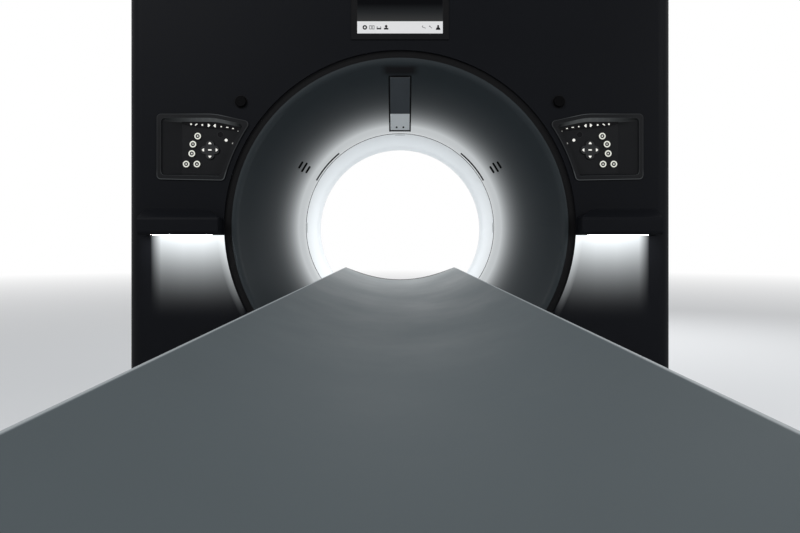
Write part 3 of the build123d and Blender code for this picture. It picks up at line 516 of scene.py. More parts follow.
def cameraSkinMaterial():
    # dark upper part, frosted window at the lower end, painted shade along its edges and in a band across
    # its foot
    look = cameraLook
    material = finish("cameraSkin", "mouldedSkin", {
        "Base Color": look["colour"], "Mottle": 0.06, "Mottle Scale": 12, "Grain Scale": 900,
        "Grain Height": 0.4, "Rough Low": 0.36, "Rough High": 0.46}, {"Specular IOR Level": 0.25}, bump=0.1)
    tree = material.node_tree
    window = falling(tree, objectAxis(tree, "Z"), look["windowTop"])
    foot = cameraPlace["middle"] - cameraPlace["halfLength"]
    footShadeLine = [foot + height for height in look["footShadeLine"]]
    mixColour(tree, window, look["windowColour"])
    # painted shade along the module's edges and in a band across its foot
    mixColour(tree, outsideCamera(tree, -look["edge"]), look["edgeShadeColour"])
    mixColour(tree, falling(tree, upTheSlope(tree), footShadeLine), look["edgeShadeColour"])
    return material


cameraSkin = cameraSkinMaterial()
lampGlass = lit("lampGlass", (1.0, 0.99, 0.97), 40.0, spread=0.04, scale=30)

# Finishes of the table and of the machinery inside.

tableShell = finish("tableShell", "mouldedSkin", {
    "Base Color": (0.3, 0.32, 0.335), "Mottle": 0.04, "Mottle Scale": 2.5, "Grain Scale": 700,
    "Grain Height": 0.5, "Rough Low": 0.4, "Rough High": 0.52}, bump=0.12)
tableDark = finish("tableDark", "mouldedSkin", {
    "Base Color": (0.05, 0.053, 0.058), "Mottle": 0.06, "Mottle Scale": 3, "Grain Scale": 500,
    "Grain Height": 0.6, "Rough Low": 0.42, "Rough High": 0.55}, bump=0.15)
frameSteel = finish("frameSteel", "mouldedSkin", {
    "Base Color": (0.3, 0.32, 0.34), "Mottle": 0.06, "Mottle Scale": 6, "Grain Scale": 420,
    "Grain Height": 0.8, "Rough Low": 0.4, "Rough High": 0.55}, bump=0.2)
unitPaint = finish("unitPaint", "mouldedSkin", {
    "Base Color": (0.45, 0.46, 0.46), "Mottle": 0.05, "Mottle Scale": 8, "Grain Scale": 600,
    "Rough Low": 0.35, "Rough High": 0.5}, bump=0.12)
bareSteel = finish("bareSteel", "toolMarks", {
    "Base Color": (0.55, 0.55, 0.56), "Stretch": (60, 1, 1), "Line Scale": 18}, {"Metallic": 1.0}, bump=0.08)
castAluminium = finish("castAluminium", "toolMarks", {
    "Base Color": (0.62, 0.63, 0.64), "Stretch": (1, 50, 1), "Line Scale": 22, "Rough Low": 0.32,
    "Rough High": 0.5}, {"Metallic": 1.0}, bump=0.12)
copperParts = finish("copperParts", "toolMarks", {
    "Base Color": (0.72, 0.4, 0.22), "Stretch": (1, 70, 1), "Line Scale": 25, "Rough Low": 0.25,
    "Rough High": 0.45}, {"Metallic": 1.0}, bump=0.1)
brushHolder = finish("brushHolder", "mouldedSkin", {
    "Base Color": (0.05, 0.05, 0.052), "Mottle Scale": 20, "Grain Scale": 600}, bump=0.15)
rubberBlack = finish("rubberBlack", "knurl", {"Base Color": (0.02, 0.02, 0.021)}, bump=0.5, bumpDepth=0.001)
speakerCloth = finish("speakerCloth", "knurl", {
    "Base Color": (0.002, 0.002, 0.0023), "Knurl Scale": 700}, {"Specular IOR Level": 0.05}, bump=0.6,
    bumpDepth=0.0008)

cradleLook = {
    "colour": (0.075, 0.09, 0.097),
    "rimHighlightColour": (0.3, 0.325, 0.335),
    "rimFrom": (0.2015, 0.203),
    "spillColour": (0.9, 0.98, 1.0),
    "spillStrength": 0.18,
    "spillReach": (-1.9, -0.52),
    "spillPower": 1.6,
    "headColour": (0.03, 0.034, 0.037),
    "headFrom": (-0.566, -0.562),
    "roughLow": 0.46,
    "roughHigh": 0.58,
}


def cradleSkinMaterial():
    # painted light from the bore, strongest towards the gantry; a painted highlight makes the flat rims
    # along both edges paler than the trough, and the strip at the head is darker
    look = cradleLook
    material = finish("cradleSkin", "mouldedSkin", {
        "Base Color": look["colour"], "Mottle": 0.035, "Mottle Scale": 5, "Grain Scale": 900,
        "Grain Height": 0.5, "Rough Low": look["roughLow"], "Rough High": look["roughHigh"]},
        {"Specular IOR Level": 0.06, "Emission Strength": look["spillStrength"]}, bump=0.1)
    tree = material.node_tree
    along = objectAxis(tree, "Y")
    # painted light from the bore, fading away from the gantry and left off the strip at the head
    fall = combine(tree, "POWER", rising(tree, along, look["spillReach"]), look["spillPower"])
    head = rising(tree, along, look["headFrom"])
    glow(tree, allOf(tree, [fall, inverse(tree, head)]), look["spillColour"])
    # painted highlight along the flat rims of both edges
    rim = rising(tree, distanceFrom(tree, objectAxis(tree, "X")), look["rimFrom"])
    mixColour(tree, rim, look["rimHighlightColour"])
    mixColour(tree, head, look["headColour"])
    return material


cradleSkin = cradleSkinMaterial()

# Lit signs and marks.

litRing = lit("litRing", (0.98, 1.0, 0.89), 0.74, spread=0.12, scale=120, base=0.06)
litSign = lit("litSign", (1.0, 0.99, 0.93), 0.85, spread=0.1, scale=160, base=0.06)
litDim = lit("litDim", (0.8, 0.8, 0.74), 0.3, spread=0.15, scale=200, base=0.06)
displayWhite = lit("displayWhite", (0.98, 0.985, 1.0), 0.66, spread=0.02, scale=60, base=0.04)
displayMark = finish("displayMark", "mouldedSkin", {
    "Base Color": (0.004, 0.004, 0.005), "Mottle Scale": 100, "Grain Scale": 2000},
    {"Specular IOR Level": 0.05})
displayFaint = finish("displayFaint", "mouldedSkin", {
    "Base Color": (0.16, 0.165, 0.17), "Mottle Scale": 100, "Grain Scale": 2000},
    {"Specular IOR Level": 0.05})

displayFade = {
    "height": (1.86, 1.93),
    "low": (0.036, 0.037, 0.037),
    "middle": (0.013, 0.0145, 0.0155),
    "middleAt": 0.55,
    "high": (0.0008, 0.001, 0.0014),
}


def displayFieldMaterial():
    # the picture above the toolbar fades from grey to black
    material = finish("displayField", "wipedGloss", {
        "Base Color": (0.002, 0.002, 0.0024), "Smear Scale": 8},
        {"Emission Strength": 1.0, "Specular IOR Level": 0.02}, bump=0.02)
    tree = material.node_tree
    height = rising(tree, objectAxis(tree, "Z"), displayFade["height"])
    ramp = addNode(tree, "ShaderNodeValToRGB", {0: height})
    ramp.color_ramp.elements[0].color = (*displayFade["low"], 1)
    ramp.color_ramp.elements[1].color = (*displayFade["high"], 1)
    middle = ramp.color_ramp.elements.new(displayFade["middleAt"])
    middle.color = (*displayFade["middle"], 1)
    feed(tree, tree.nodes["Principled BSDF"], {"Emission Color": ramp.outputs["Color"]})
    return material


displayField = displayFieldMaterial()

finishesOfNodes = {
    coverShell: ["front_cover", "left_ledge", "right_ledge"],
    casingShell: ["rear_cover", "left_side_cover", "right_side_cover", "top_cover"],
    flareShell: ["front_bore_flare", "rear_bore_flare"],
    cameraSkin: ["camera_module"],
    blackTrim: ["front_trim_band", "display_housing"],
    tunnelWhite: ["bore_liner"],
    blackGloss: ["display_screen"],
    windowBlack: ["laser_windows"],
    panelTray: ["left_control_panel", "right_control_panel"],
    keyCap: keyNames + ["left_jog_pad", "right_jog_pad"],
    stopCap: ["left_stop_button", "right_stop_button"],
    lampGlass: ["ledge_lamps"],
    frameSteel: ["base_frame", "stator_frame", "power_unit"],
    tableDark: ["table_base", "floor_link"],
    unitPaint: ["xray_tube", "collimator", "detector_array", "hv_generator"],
    bareSteel: ["main_bearing", "front_cradle_roller", "rear_cradle_roller", "levelling_feet"],
    castAluminium: ["rotor_drum", "heat_exchanger", "inner_lift_columns", "middle_lift_columns",
                    "outer_lift_columns"],
    copperParts: ["slip_ring", "drive_motor_coils"],
    brushHolder: ["brush_block"],
    tableShell: ["upper_shroud", "middle_shroud", "lower_shroud", "table_support"],
    cradleSkin: ["cradle"],
    rubberBlack: ["foot_pedal", "cradle_release_handle"],
}
for material, names in finishesOfNodes.items():
    for name in names:
        nodes[name].data.materials.clear()
        nodes[name].data.materials.append(material)
print("finishes on the solids")


# Flat signs: shapes in millimetres on a vertical plane, each a thin plate with its own finish.

def discShape(x, z, radius, corners=32):
    turns = [2 * math.pi * k / corners for k in range(corners)]
    return [(x + radius * math.cos(turn), z + radius * math.sin(turn)) for turn in turns]


def turnedShape(x, z, corners, degrees):
    # an outline turned about its middle and moved to its place
    turn = math.radians(degrees)
    return [(x + dx * math.cos(turn) - dz * math.sin(turn), z + dx * math.sin(turn) + dz * math.cos(turn))
            for dx, dz in corners]


def barShape(x, z, width, height, degrees=0):
    corners = ((-1, -1), (1, -1), (1, 1), (-1, 1))
    return turnedShape(x, z, [(dx * width / 2, dz * height / 2) for dx, dz in corners], degrees)


def arrowShape(x, z, size, degrees=0):
    corners = ((-0.55, -0.38), (0.55, -0.38), (0.42, 0.02), (0, 0.42), (-0.42, 0.02))
    return turnedShape(x, z, [(dx * size, dz * size) for dx, dz in corners], degrees)


def joinRims(mesh, first, second):
    # the faces between two rims that have as many corners
    count = len(first)
    return [mesh.faces.new((first[k], first[(k + 1) % count], second[(k + 1) % count], second[k]))
            for k in range(count)]


def addPlate(mesh, outline, backY, frontY, slot, hole=None):
    # a thin plate, or a frame if it has a hole with as many corners as the outline
    def rims(shape):
        return [[mesh.verts.new((x * mm, y * mm, z * mm)) for x, z in shape] for y in (backY, frontY)]

    outer = rims(outline)
    made = joinRims(mesh, *outer)
    if hole is None:
        made += [mesh.faces.new(rim) for rim in outer]
    else:
        inner = rims(hole)
        made += joinRims(mesh, *inner)
        for outerRim, innerRim in zip(outer, inner):
            made += joinRims(mesh, outerRim, innerRim)
    for face in made:
        face.material_index = slot


def rideOn(name, data, body):
    # makes a mesh a piece that rides on a body
    piece = bpy.data.objects.new(name, data)
    bpy.context.scene.collection.objects.link(piece)
    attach(piece, body)


def closeMesh(name, mesh, materials):
    # the finished mesh, with its faces turned outwards
    bmesh.ops.recalc_face_normals(mesh, faces=mesh.faces)
    data = bpy.data.meshes.new(name)
    mesh.to_mesh(data)
    mesh.free()
    for material in materials:
        data.materials.append(material)
    return data


def signPiece(name, plates, materials, body):
    # plates: (outline, hole or None, back y, front y, material index)
    mesh = bmesh.new()
    for outline, hole, backY, frontY, slot in plates:
        addPlate(mesh, outline, backY, frontY, slot, hole)
    rideOn(name, closeMesh(name, mesh, materials), body)


def seenFromFront(node):
    # middle and front of a node: x, z and lowest y, in metres
    low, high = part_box(node)
    return (low.x + high.x) / 2, (low.z + high.z) / 2, low.y


displayLayout = {
    "halfWidth": 165.5,
    "field": (1814, 1972),
    "toolbar": (1815.5, 1862),
    "iconHeight": 1838.5,
    "iconSize": 17,
    "leftIcons": (-136, -109, -81.5, -53.5),
    "rightIcons": (92, 118, 147.5),
    "glassFront": -501,
    "fieldRise": 0.4,
    "toolbarRise": 0.7,
    "markRise": 1.1,                 # each rise is a height above the glass
}


def displayPicture():
    look = displayLayout
    front = look["glassFront"]
    fieldFront, toolbarFront = front - look["fieldRise"], front - look["toolbarRise"]
    half = look["halfWidth"]
    z = look["iconHeight"]
    size = look["iconSize"]
    ring, squares, tray, dome = look["leftIcons"]
    dots, bars, peak = look["rightIcons"]

    def panel(low, high):
        return [(-half, low), (half, low), (half, high), (-half, high)]

    def mark(outline, hole=None, tone=2):
        return (outline, hole, toolbarFront, front - look["markRise"], tone)

    # in a mark, tone 2 is dark and tone 3 is faint
    plates = [
        (panel(*look["field"]), None, front, fieldFront, 0),
        (panel(*look["toolbar"]), None, fieldFront, toolbarFront, 1),
        mark(discShape(ring, z, size * 0.52), discShape(ring, z, size * 0.22)),
        mark(barShape(squares - 5.2, z, 10, 15), barShape(squares - 5.2, z, 5.5, 10), 3),
        mark(barShape(squares + 5.8, z, 9, 15), barShape(squares + 5.8, z, 4.5, 10), 3),
        mark(barShape(tray, z - 5, size, 5)),
        mark(barShape(tray - 7, z - 1, 3, 9), None, 3),
        mark(barShape(tray + 7, z - 1, 3, 9), None, 3),
        mark(discShape(dome, z + 4.5, 5)),
        mark(barShape(dome, z - 1.2, 5, 7)),
        mark(barShape(dome, z - 5.2, size, 6)),
        mark(discShape(dots - 5, z + 4.5, 2.4, 12), None, 3),
        mark(barShape(dots + 1, z - 1, 14, 2.2, -18), None, 3),
        mark(discShape(bars - 3, z + 4.5, 2.4, 12), None, 3),
        mark(barShape(bars + 2, z, 10, 2.2, -40), None, 3),
        mark(arrowShape(peak, z - 3, size)),
        mark(discShape(peak, z + 5, 4, 16)),
    ]
    signPiece("displayPicture", plates, [displayField, displayWhite, displayMark, displayFaint],
              "gantry")


displayPicture()

# Signs in the control panels. Places are for the right-hand panel, in millimetres.
panelLayout = {
    "floor": -474,
    "strip": [(865, 1476.5), (794, 1475.5), (741, 1472), (688.5, 1465.2), (640, 1453.5), (628, 1438.4),
              (675, 1445.4), (715, 1449.4), (754, 1452), (809, 1457.4), (846, 1468)],
    "stripSigns": [(817, 1469), (797, 1467.5), (773, 1466), (747, 1464.5), (725, 1463), (699, 1459.5),
                   (675.5, 1456.5), (653, 1452), (633.5, 1441.5)],
    "stripTones": (1, 1, 1, 1, 1, 1, 1, 1, 2),       # 1 is bright, 2 is dim
    "stripRise": 0.5,
    "signRise": 0.9,
    "darkDot": (703, 1428.5, 10.5),
    "darkRise": 1.5,
    "darkRim": (0.4, 1.6),
    "rimRise": 0.6,
    "litDot": (680, 1406.5, 5.6),
    "litRise": 0.9,
    "statusDot": (654, 1394, 3.2),
    "statusRise": 0.7,                       # each rise is a height above the panel's floor
}


def panelSigns(side):
    look = panelLayout
    flip = bothSides[side]
    floor = look["floor"]
    stripFront = floor - look["stripRise"]

    def turned(points):
        return [(flip * x, z) for x, z in points]

    # shape and sizes of each sign, from the outer end of the strip inwards
    shapes = [(discShape, 3.4, 20), (barShape, 10, 3.8, -35), (discShape, 3.5, 20),
              (arrowShape, 12, -90 * flip), (arrowShape, 12, 90 * flip), (discShape, 3, 5),
              (barShape, 9.5, 3, 4), (barShape, 6, 3.6, 10), (discShape, 2, 16)]
    plates = [(turned(look["strip"]), None, floor, stripFront, 0)]
    for (shape, *sizes), place, tone in zip(shapes, look["stripSigns"], look["stripTones"]):
        plates.append((turned(shape(*place, *sizes)), None, stripFront, floor - look["signRise"], tone))
    x, z, radius = look["darkDot"]
    inner, outer = [discShape(x, z, radius + margin) for margin in look["darkRim"]]
    plates += [
        (turned(discShape(x, z, radius)), None, floor, floor - look["darkRise"], 0),
        (turned(outer), turned(inner), floor, floor - look["rimRise"], 3),
        (turned(discShape(*look["litDot"])), None, floor, floor - look["litRise"], 1),
        (turned(discShape(*look["statusDot"], 20)), None, floor, floor - look["statusRise"], 2),
    ]
    signPiece(f"{side}PanelSigns", plates, [stripGloss, litSign, litDim, keyCap], "gantry")


keyMarks = {
    "outerRadius": 12.8,
    "innerRadius": 8.2,
    "dot": (2.6, 20),                # radius and corners
    "bar": (1.3, 5.5),
    "barShift": 1.7,
    "arrow": 6,
    "thickness": 0.5,
}


def keySigns(side, number):
    # the lit ring on a key cap and the small sign inside it
    marks = keyMarks
    x, z, front = [value / mm for value in seenFromFront(f"{side}_key_{number}")]
    raised = front - marks["thickness"]
    ring, hole = [discShape(x, z, marks[edge]) for edge in ("outerRadius", "innerRadius")]
    dot = discShape(x, z, *marks["dot"])
    bars = [barShape(x + way * marks["barShift"], z, *marks["bar"]) for way in (-1, 1)]
    aside, upright = [arrowShape(x, z, marks["arrow"], degrees) for degrees in (-90 * bothSides[side], 0)]
    centre = {1: [dot], 2: bars, 3: [aside], 4: [dot], 5: [upright]}[number]
    plates = [(ring, hole, front, raised, 0)]
    plates += [(outline, None, front, raised, 1) for outline in centre]
    signPiece(f"{side}Key{number}Signs", plates, [litRing, litSign], f"{side}_key_{number}")


jogMarks = {"bar": (13, 5), "arrow": 11, "reach": 26.8, "thickness": 0.5}


def jogSigns(side):
    # a bar in the middle of a pad and an arrow on each of its lobes
    x, z, front = [value / mm for value in seenFromFront(f"{side}_jog_pad")]
    raised = front - jogMarks["thickness"]
    reach = jogMarks["reach"]
    plates = [(barShape(x, z, *jogMarks["bar"]), None, front, raised, 0)]
    for degrees in (0, 90, 180, 270):
        turn = math.radians(degrees)
        place = (x - reach * math.sin(turn), z + reach * math.cos(turn))
        plates.append((arrowShape(*place, jogMarks["arrow"], degrees), None, front, raised, 0))
    signPiece(f"{side}JogSigns", plates, [litSign], f"{side}_jog_pad")


for side in bothSides:
    panelSigns(side)
    jogSigns(side)
    for number in range(1, 6):
        keySigns(side, number)
print("display and panel signs")


# Geometry Nodes trees for what repeats. Each grows on a small mesh of points with a "facing" vector.

def newTree(name, inputs):
    # an empty tree that takes points and its own inputs, and gives a mesh
    tree = bpy.data.node_groups.new(name, "GeometryNodeTree")
    tree.interface.new_socket(name="Geometry", in_out="INPUT", socket_type="NodeSocketGeometry")
    addInputs(tree, inputs)
    tree.interface.new_socket(name="Geometry", in_out="OUTPUT", socket_type="NodeSocketGeometry")
    return tree, tree.nodes.new("NodeGroupInput").outputs


def standOnPoints(tree, given, shape, seeded=True):
    # stands one shape on every point, turned to its facing, and ends the tree
    points = addNode(tree, "GeometryNodeMeshToPoints", {"Mesh": given["Geometry"]})
    facing = addNode(tree, "GeometryNodeInputNamedAttribute", {"Name": "facing"}, data_type="FLOAT_VECTOR")
    aim = addNode(tree, "FunctionNodeAlignRotationToVector", {
        "Vector": facing.outputs["Attribute"]}, axis="Z")
    stood = addNode(tree, "GeometryNodeInstanceOnPoints", {
        "Points": points.outputs[0], "Instance": shape, "Rotation": aim.outputs[0]})
    if seeded:
        # each head is turned by up to a full turn
        turn = addNode(tree, "FunctionNodeRandomValue", {3: 6.283, "Seed": given["Turn Seed"]},
                       data_type="FLOAT")
        spin = addNode(tree, "ShaderNodeCombineXYZ", {"Z": turn.outputs[1]})
        stood = addNode(tree, "GeometryNodeRotateInstances", {
            "Instances": stood.outputs[0], "Rotation": spin.outputs[0]})
    real = addNode(tree, "GeometryNodeRealizeInstances", {0: stood.outputs[0]})
    paint = addNode(tree, "GeometryNodeSetMaterial", {
        "Geometry": real.outputs[0], "Material": given["Material"]})
    addNode(tree, "NodeGroupOutput", {"Geometry": paint.outputs[0]})
    return tree


def fastenerTree():
    # a turned or six-sided head with a sunk socket
    tree, given = newTree("fasteners", {
        "Head Radius": 0.006, "Head Height": 0.003, "Corners": 20, "Socket Share": 0.5,
        "Socket Depth": 0.002, "Turn Seed": 3, "Material": None})
    head = addNode(tree, "GeometryNodeMeshCylinder", {
        "Vertices": given["Corners"], "Radius": given["Head Radius"], "Depth": given["Head Height"]})
    rim = addNode(tree, "GeometryNodeExtrudeMesh", {
        "Mesh": head.outputs["Mesh"], "Selection": head.outputs["Top"], "Offset Scale": 0.0,
        "Individual": False}, mode="FACES")
    narrow = addNode(tree, "GeometryNodeScaleElements", {
        "Geometry": rim.outputs["Mesh"], "Selection": rim.outputs["Top"], "Scale": given["Socket Share"]},
        domain="FACE")
    depth = combine(tree, "MULTIPLY", given["Socket Depth"], -1)
    sunk = addNode(tree, "GeometryNodeExtrudeMesh", {
        "Mesh": narrow.outputs[0], "Selection": rim.outputs["Top"], "Offset Scale": depth,
        "Individual": False}, mode="FACES")
    half = combine(tree, "MULTIPLY", given["Head Height"], 0.5)
    lift = addNode(tree, "ShaderNodeCombineXYZ", {"Z": half})
    seat = addNode(tree, "GeometryNodeTransform", {
        "Geometry": sunk.outputs["Mesh"], "Translation": lift.outputs[0]})
    return standOnPoints(tree, given, seat.outputs[0])


def ringTree():
    # a flat ring with a rectangular section, such as a collar or a seam
    tree, given = newTree("rings", {
        "Ring Radius": 0.015, "Ring Width": 0.002, "Ring Height": 0.001, "Steps": 48, "Material": None})
    path = addNode(tree, "GeometryNodeCurvePrimitiveCircle", {
        "Resolution": given["Steps"], "Radius": given["Ring Radius"]})
    section = addNode(tree, "GeometryNodeCurvePrimitiveQuadrilateral", {
        "Width": given["Ring Width"], "Height": given["Ring Height"]})
    upright = addNode(tree, "GeometryNodeSetCurveNormal", {0: path.outputs[0]})
    sweep = addNode(tree, "GeometryNodeCurveToMesh", {
        "Curve": upright.outputs[0], "Profile Curve": section.outputs[0]})
    return standOnPoints(tree, given, sweep.outputs[0], seeded=False)


def barMeshTree():
    # crossed bars, as behind cooling slots
    tree, given = newTree("barMesh", {
        "Width": 1.0, "Height": 0.1, "Pitch": 0.005, "Bar": 0.001, "Material": None})
    both = tree.nodes.new("GeometryNodeJoinGeometry")
    for along, across, axis, other in (("Width", "Height", "X", "Y"), ("Height", "Width", "Y", "X")):
        count = combine(tree, "DIVIDE", given[along], given["Pitch"])
        half = combine(tree, "MULTIPLY", given[along], -0.5)
        start = addNode(tree, "ShaderNodeCombineXYZ", {axis: half})
        step = addNode(tree, "ShaderNodeCombineXYZ", {axis: given["Pitch"]})
        line = addNode(tree, "GeometryNodeMeshLine", {
            "Count": count, "Start Location": start.outputs[0], "Offset": step.outputs[0]}, mode="OFFSET")
        size = addNode(tree, "ShaderNodeCombineXYZ", {
            axis: given["Bar"], other: given[across], "Z": given["Bar"]})
        bar = addNode(tree, "GeometryNodeMeshCube", {"Size": size.outputs[0]})
        row = addNode(tree, "GeometryNodeInstanceOnPoints", {
            "Points": line.outputs[0], "Instance": bar.outputs[0]})
        tree.links.new(row.outputs[0], both.inputs[0])
    return standOnPoints(tree, given, both.outputs[0], seeded=False)


trees = {"fasteners": fastenerTree(), "rings": ringTree(), "barMesh": barMeshTree()}


def grown(name, treeName, places, values, material, body):
    # runs a tree on places given as (point, facing) and keeps the result as a plain mesh
    seed = bpy.data.meshes.new(name + "Places")
    seed.from_pydata([point for point, _ in places], [], [])
    facing = seed.attributes.new("facing", "FLOAT_VECTOR", "POINT")
    for index, (_, direction) in enumerate(places):
        facing.data[index].vector = direction
    grower = bpy.data.objects.new(name + "Places", seed)
    bpy.context.scene.collection.objects.link(grower)
    modifier = grower.modifiers.new("grow", "NODES")
    tree = trees[treeName]
    modifier.node_group = tree
    given = {item.name: item.identifier for item in tree.interface.items_tree if item.in_out == "INPUT"}
    for key, value in values.items():
        modifier[given[key]] = value
    modifier[given["Material"]] = material
    bpy.context.view_layer.update()
    depsgraph = bpy.context.evaluated_depsgraph_get()
    data = bpy.data.meshes.new_from_object(grower.evaluated_get(depsgraph))
    bpy.data.objects.remove(grower)
    data.name = name
    rideOn(name, data, body)


toFront = (0, -1, 0)
toRear = (0, 1, 0)
upwards = (0, 0, 1)


def collarPlaces(names, backY, ring):
    # middles of collars that stand on a face and surround some nodes
    found = []
    for name in names:
        x, z, _ = seenFromFront(name)
        found.append(((x, backY - ring["Ring Height"] / 2, z), toFront))
    return found


# Collars round the keys
keyRing = {"Ring Radius": 14.7 * mm, "Ring Width": 1.9 * mm, "Ring Height": 0.8 * mm}
places = collarPlaces(keyNames, panelLayout["floor"] * mm, keyRing)
grown("keyCollars", "rings", places, keyRing, keyCap, "gantry")

# Collars round the stop buttons
stopCollar = {"Ring Radius": 23.5 * mm, "Ring Width": 3 * mm, "Ring Height": 2.4 * mm}
places = collarPlaces([f"{side}_stop_button" for side in bothSides], coverFront, stopCollar)
grown("stopCollars", "rings", places, stopCollar, blackTrim, "gantry")

# Seam where the front flare meets the liner
boreSeam = {"Ring Radius": 399.2 * mm, "Ring Width": 2 * mm, "Ring Height": 1.8 * mm, "Steps": 128}
seamPlace = (0, -0.2505, boreHeight)
grown("boreSeam", "rings", [(seamPlace, toFront)], boreSeam, blackTrim, "gantry")

# Floor anchors of the gantry and the table
anchorBolt = {"Head Radius": 13 * mm, "Head Height": 10 * mm, "Corners": 6, "Socket Share": 0.4,
              "Socket Depth": 1.5 * mm}
anchorWasher = {"Head Radius": 18 * mm, "Head Height": 2.5 * mm, "Corners": 28, "Socket Share": 0.6,
                "Socket Depth": 0.5 * mm}
anchorSpots = {
    "gantry": ((-0.9, 0.9), (-0.38, 0.38)),
    "table": ((-0.25, 0.25), (-2.25, -1.05)),
}
footTop = 0.04
for name, anchor, height in (("anchorWashers", anchorWasher, footTop),
                             ("anchorBolts", anchorBolt, footTop + anchorWasher["Head Height"])):
    places = [((x, y, height), upwards) for across, along in anchorSpots.values()
              for x in across for y in along]
    grown(name, "fasteners", places, anchor, bareSteel, "gantry")

# Screws of the rear cover
coverScrew = {"Head Radius": 7 * mm, "Head Height": 2.2 * mm, "Socket Share": 0.45, "Socket Depth": 1.8 * mm}
screwPlaces = {"x": (-0.965, 0.965), "y": 0.5, "z": (0.16, 0.78, 1.4, 1.96)}
places = [((x, screwPlaces["y"], z), toRear) for x in screwPlaces["x"] for z in screwPlaces["z"]]
grown("rearCoverScrews", "fasteners", places, coverScrew, blackTrim, "gantry")

# Fine mesh behind the cooling slots
slotMesh = {"Pitch": 5 * mm, "Bar": 1.1 * mm}
slotMeshes = {
    "inletMesh": {"place": (0, 0.4925, 0.245), "facing": toRear, "size": (1.26, 0.15)},
    "outletMesh": {"place": (0, 0, 2.0525), "facing": upwards, "size": (1.35, 0.155)},
}
for name, spot in slotMeshes.items():
    width, height = spot["size"]
    values = dict(slotMesh, Width=width, Height=height)
    grown(name, "barMesh", [(spot["place"], spot["facing"])], values, blackTrim, "gantry")
print("rings, fasteners and meshes")


# Small pieces on the flare: cloth plates over the speaker slots, the lenses of the camera.

def roundPlates(name, plates, thickness, material, corners=40):
    # round or long round-ended plates at (centre, facing, along, radius, length)
    mesh = bmesh.new()
    for centre, facing, along, radius, length in plates:
        across = along.cross(facing)
        turned = Matrix((across, along, facing)).transposed().to_4x4()
        toPlace = Matrix.Translation(centre) @ turned
        stretch = length / 2 - radius
        rim = []
        for k in range(corners):
            turn = 2 * math.pi * (k + 0.5) / corners
            side = stretch if math.sin(turn) > 0 else -stretch
            rim.append((radius * math.cos(turn), radius * math.sin(turn) + side))
        low = [mesh.verts.new(toPlace @ Vector((x, y, 0))) for x, y in rim]
        high = [mesh.verts.new(toPlace @ Vector((x, y, thickness))) for x, y in rim]
        mesh.faces.new(low)
        mesh.faces.new(high)
        joinRims(mesh, low, high)
    rideOn(name, closeMesh(name, mesh, [material]), "gantry")


flareSlope = (-0.68, -0.733)     # facing of the flare's straight part, inwards and to the front
speakerSpot = {
    "radius": 0.464,
    "depth": -0.342,
    "degrees": 31.95,
    "pitch": 0.0151,
    "lengths": (0.034, 0.0445, 0.033),
    "halfWidth": 0.0047,
    "lift": 0.0003,
    "thickness": 0.0006,
}


def speakerPlates():
    spot = speakerSpot
    found = []
    for side in (-1, 1):
        turn = math.radians(spot["degrees"])
        outward = Vector((side * math.cos(turn), 0, math.sin(turn)))
        along = Vector((-side * math.sin(turn), 0, math.cos(turn)))
        facing = (outward * flareSlope[0] + Vector((0, flareSlope[1], 0))).normalized()
        for step, length in zip((-1, 0, 1), spot["lengths"]):
            shift = step * spot["pitch"]
            depth = spot["depth"] + shift * flareSlope[0] / -flareSlope[1]
            onFace = outward * (spot["radius"] + shift) + Vector((0, depth, boreHeight))
            found.append((onFace + facing * spot["lift"], facing, along, spot["halfWidth"], length))
    return found


roundPlates("speakerCloths", speakerPlates(), speakerSpot["thickness"], speakerCloth)

cameraFace = Vector((0, flareSlope[1], flareSlope[0])).normalized()
lensSpot = {"z": 1.487, "y": -0.3058, "spacing": 0.028, "radius": 0.0042, "thickness": 0.0006}
lensPlates = [(Vector((side * lensSpot["spacing"] / 2, lensSpot["y"], lensSpot["z"])), cameraFace,
               Vector((1, 0, 0)), lensSpot["radius"], 2 * lensSpot["radius"]) for side in (-1, 1)]
roundPlates("cameraLenses", lensPlates, lensSpot["thickness"], stripGloss, corners=24)
print("flare details")


# Floor, light and camera.

studioLook = {
    "floorHalf": 30.0,
    "floorColour": (0.72, 0.73, 0.74),
    "floorRough": 0.7,
    "fade": (3.0, 20.0),             # from the lit floor to plain white
    "skyColour": (0.93, 0.96, 1.0),
    "skyStrength": 0.42,
    "white": (1.0, 1.0, 1.0, 1),
}


def studioFloor():
    look = studioLook
    size = look["floorHalf"]
    mesh = bpy.data.meshes.new("studioFloor")
    corners = [(-size, -size, 0), (size, -size, 0), (size, size, 0), (-size, size, 0)]
    mesh.from_pydata(corners, [], [(0, 1, 2, 3)])
    floor = bpy.data.objects.new("studioFloor", mesh)
    bpy.context.scene.collection.objects.link(floor)
    material = bpy.data.materials.new("studioFloor")
    material.use_nodes = True
    tree = material.node_tree
    principled = tree.nodes["Principled BSDF"]
    feed(tree, principled, {"Base Color": (*look["floorColour"], 1), "Roughness": look["floorRough"]})
    far = addNode(tree, "ShaderNodeVectorMath", {0: objectPlace(tree)}, operation="LENGTH")
    fade = rising(tree, far.outputs["Value"], look["fade"])
    plain = addNode(tree, "ShaderNodeEmission", {"Color": look["white"]})
    mix = addNode(tree, "ShaderNodeMixShader", {0: fade, 1: principled.outputs[0], 2: plain.outputs[0]})
    feed(tree, tree.nodes["Material Output"], {"Surface": mix.outputs[0]})
    mesh.materials.append(material)


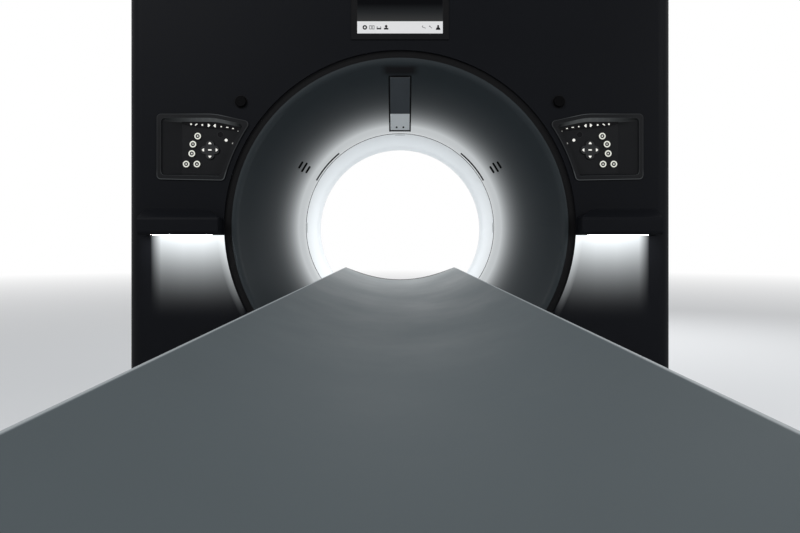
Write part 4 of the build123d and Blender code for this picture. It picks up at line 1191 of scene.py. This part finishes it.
def studioWorld():
    world = bpy.data.worlds.new("studio")
    bpy.context.scene.world = world
    world.use_nodes = True
    tree = world.node_tree
    soft = tree.nodes["Background"]
    feed(tree, soft, {"Color": (*studioLook["skyColour"], 1), "Strength": studioLook["skyStrength"]})
    plain = addNode(tree, "ShaderNodeBackground", {"Color": studioLook["white"], "Strength": 1.0})
    path = tree.nodes.new("ShaderNodeLightPath")
    seen = combine(tree, "MAXIMUM", path.outputs["Is Camera Ray"], path.outputs["Is Glossy Ray"])
    seen = combine(tree, "MAXIMUM", seen, path.outputs["Is Transmission Ray"])
    mix = addNode(tree, "ShaderNodeMixShader", {0: seen, 1: soft.outputs[0], 2: plain.outputs[0]})
    feed(tree, tree.nodes["World Output"], {"Surface": mix.outputs[0]})


lamps = {
    "keyLamp": {"place": (-3.2, -4.6, 4.6), "aim": (0, -0.6, 1.0), "size": 3.2, "power": 190},
    "fillLamp": {"place": (4.2, -4.0, 2.6), "aim": (0, -0.5, 1.0), "size": 3.0, "power": 90},
    "rearLamp": {"place": (2.6, 4.6, 4.2), "aim": (0, 0, 1.0), "size": 3.2, "power": 170},
    "boreLamp": {"place": (0, 0.16, 1.07), "aim": (0, -2.0, 1.0), "size": 0.62, "power": 0.8},
}


def studioLamps():
    for name, lamp in lamps.items():
        light = bpy.data.lights.new(name, "AREA")
        light.shape = "DISK"
        light.size = lamp["size"]
        light.energy = lamp["power"]
        thing = bpy.data.objects.new(name, light)
        bpy.context.scene.collection.objects.link(thing)
        thing.location = lamp["place"]
        direction = Vector(lamp["aim"]) - Vector(lamp["place"])
        thing.rotation_euler = direction.to_track_quat("-Z", "Y").to_euler()
        thing.visible_camera = False


photoView = {"sensor": 36, "lens": 29.06, "shift": -0.0315, "nearest": 0.01, "place": (0, -3.0, 1.011)}


def photoCamera():
    camera = bpy.data.cameras.new("photoCamera")
    camera.sensor_width = photoView["sensor"]
    camera.lens = photoView["lens"]
    camera.shift_y = photoView["shift"]
    camera.clip_start = photoView["nearest"]
    thing = bpy.data.objects.new("photoCamera", camera)
    bpy.context.scene.collection.objects.link(thing)
    thing.location = photoView["place"]
    thing.rotation_euler = (math.radians(90), 0, 0)
    bpy.context.scene.camera = thing


studioFloor()
studioWorld()
studioLamps()
photoCamera()
bpy.context.scene.view_settings.view_transform = "Standard"
print("floor, light and camera")
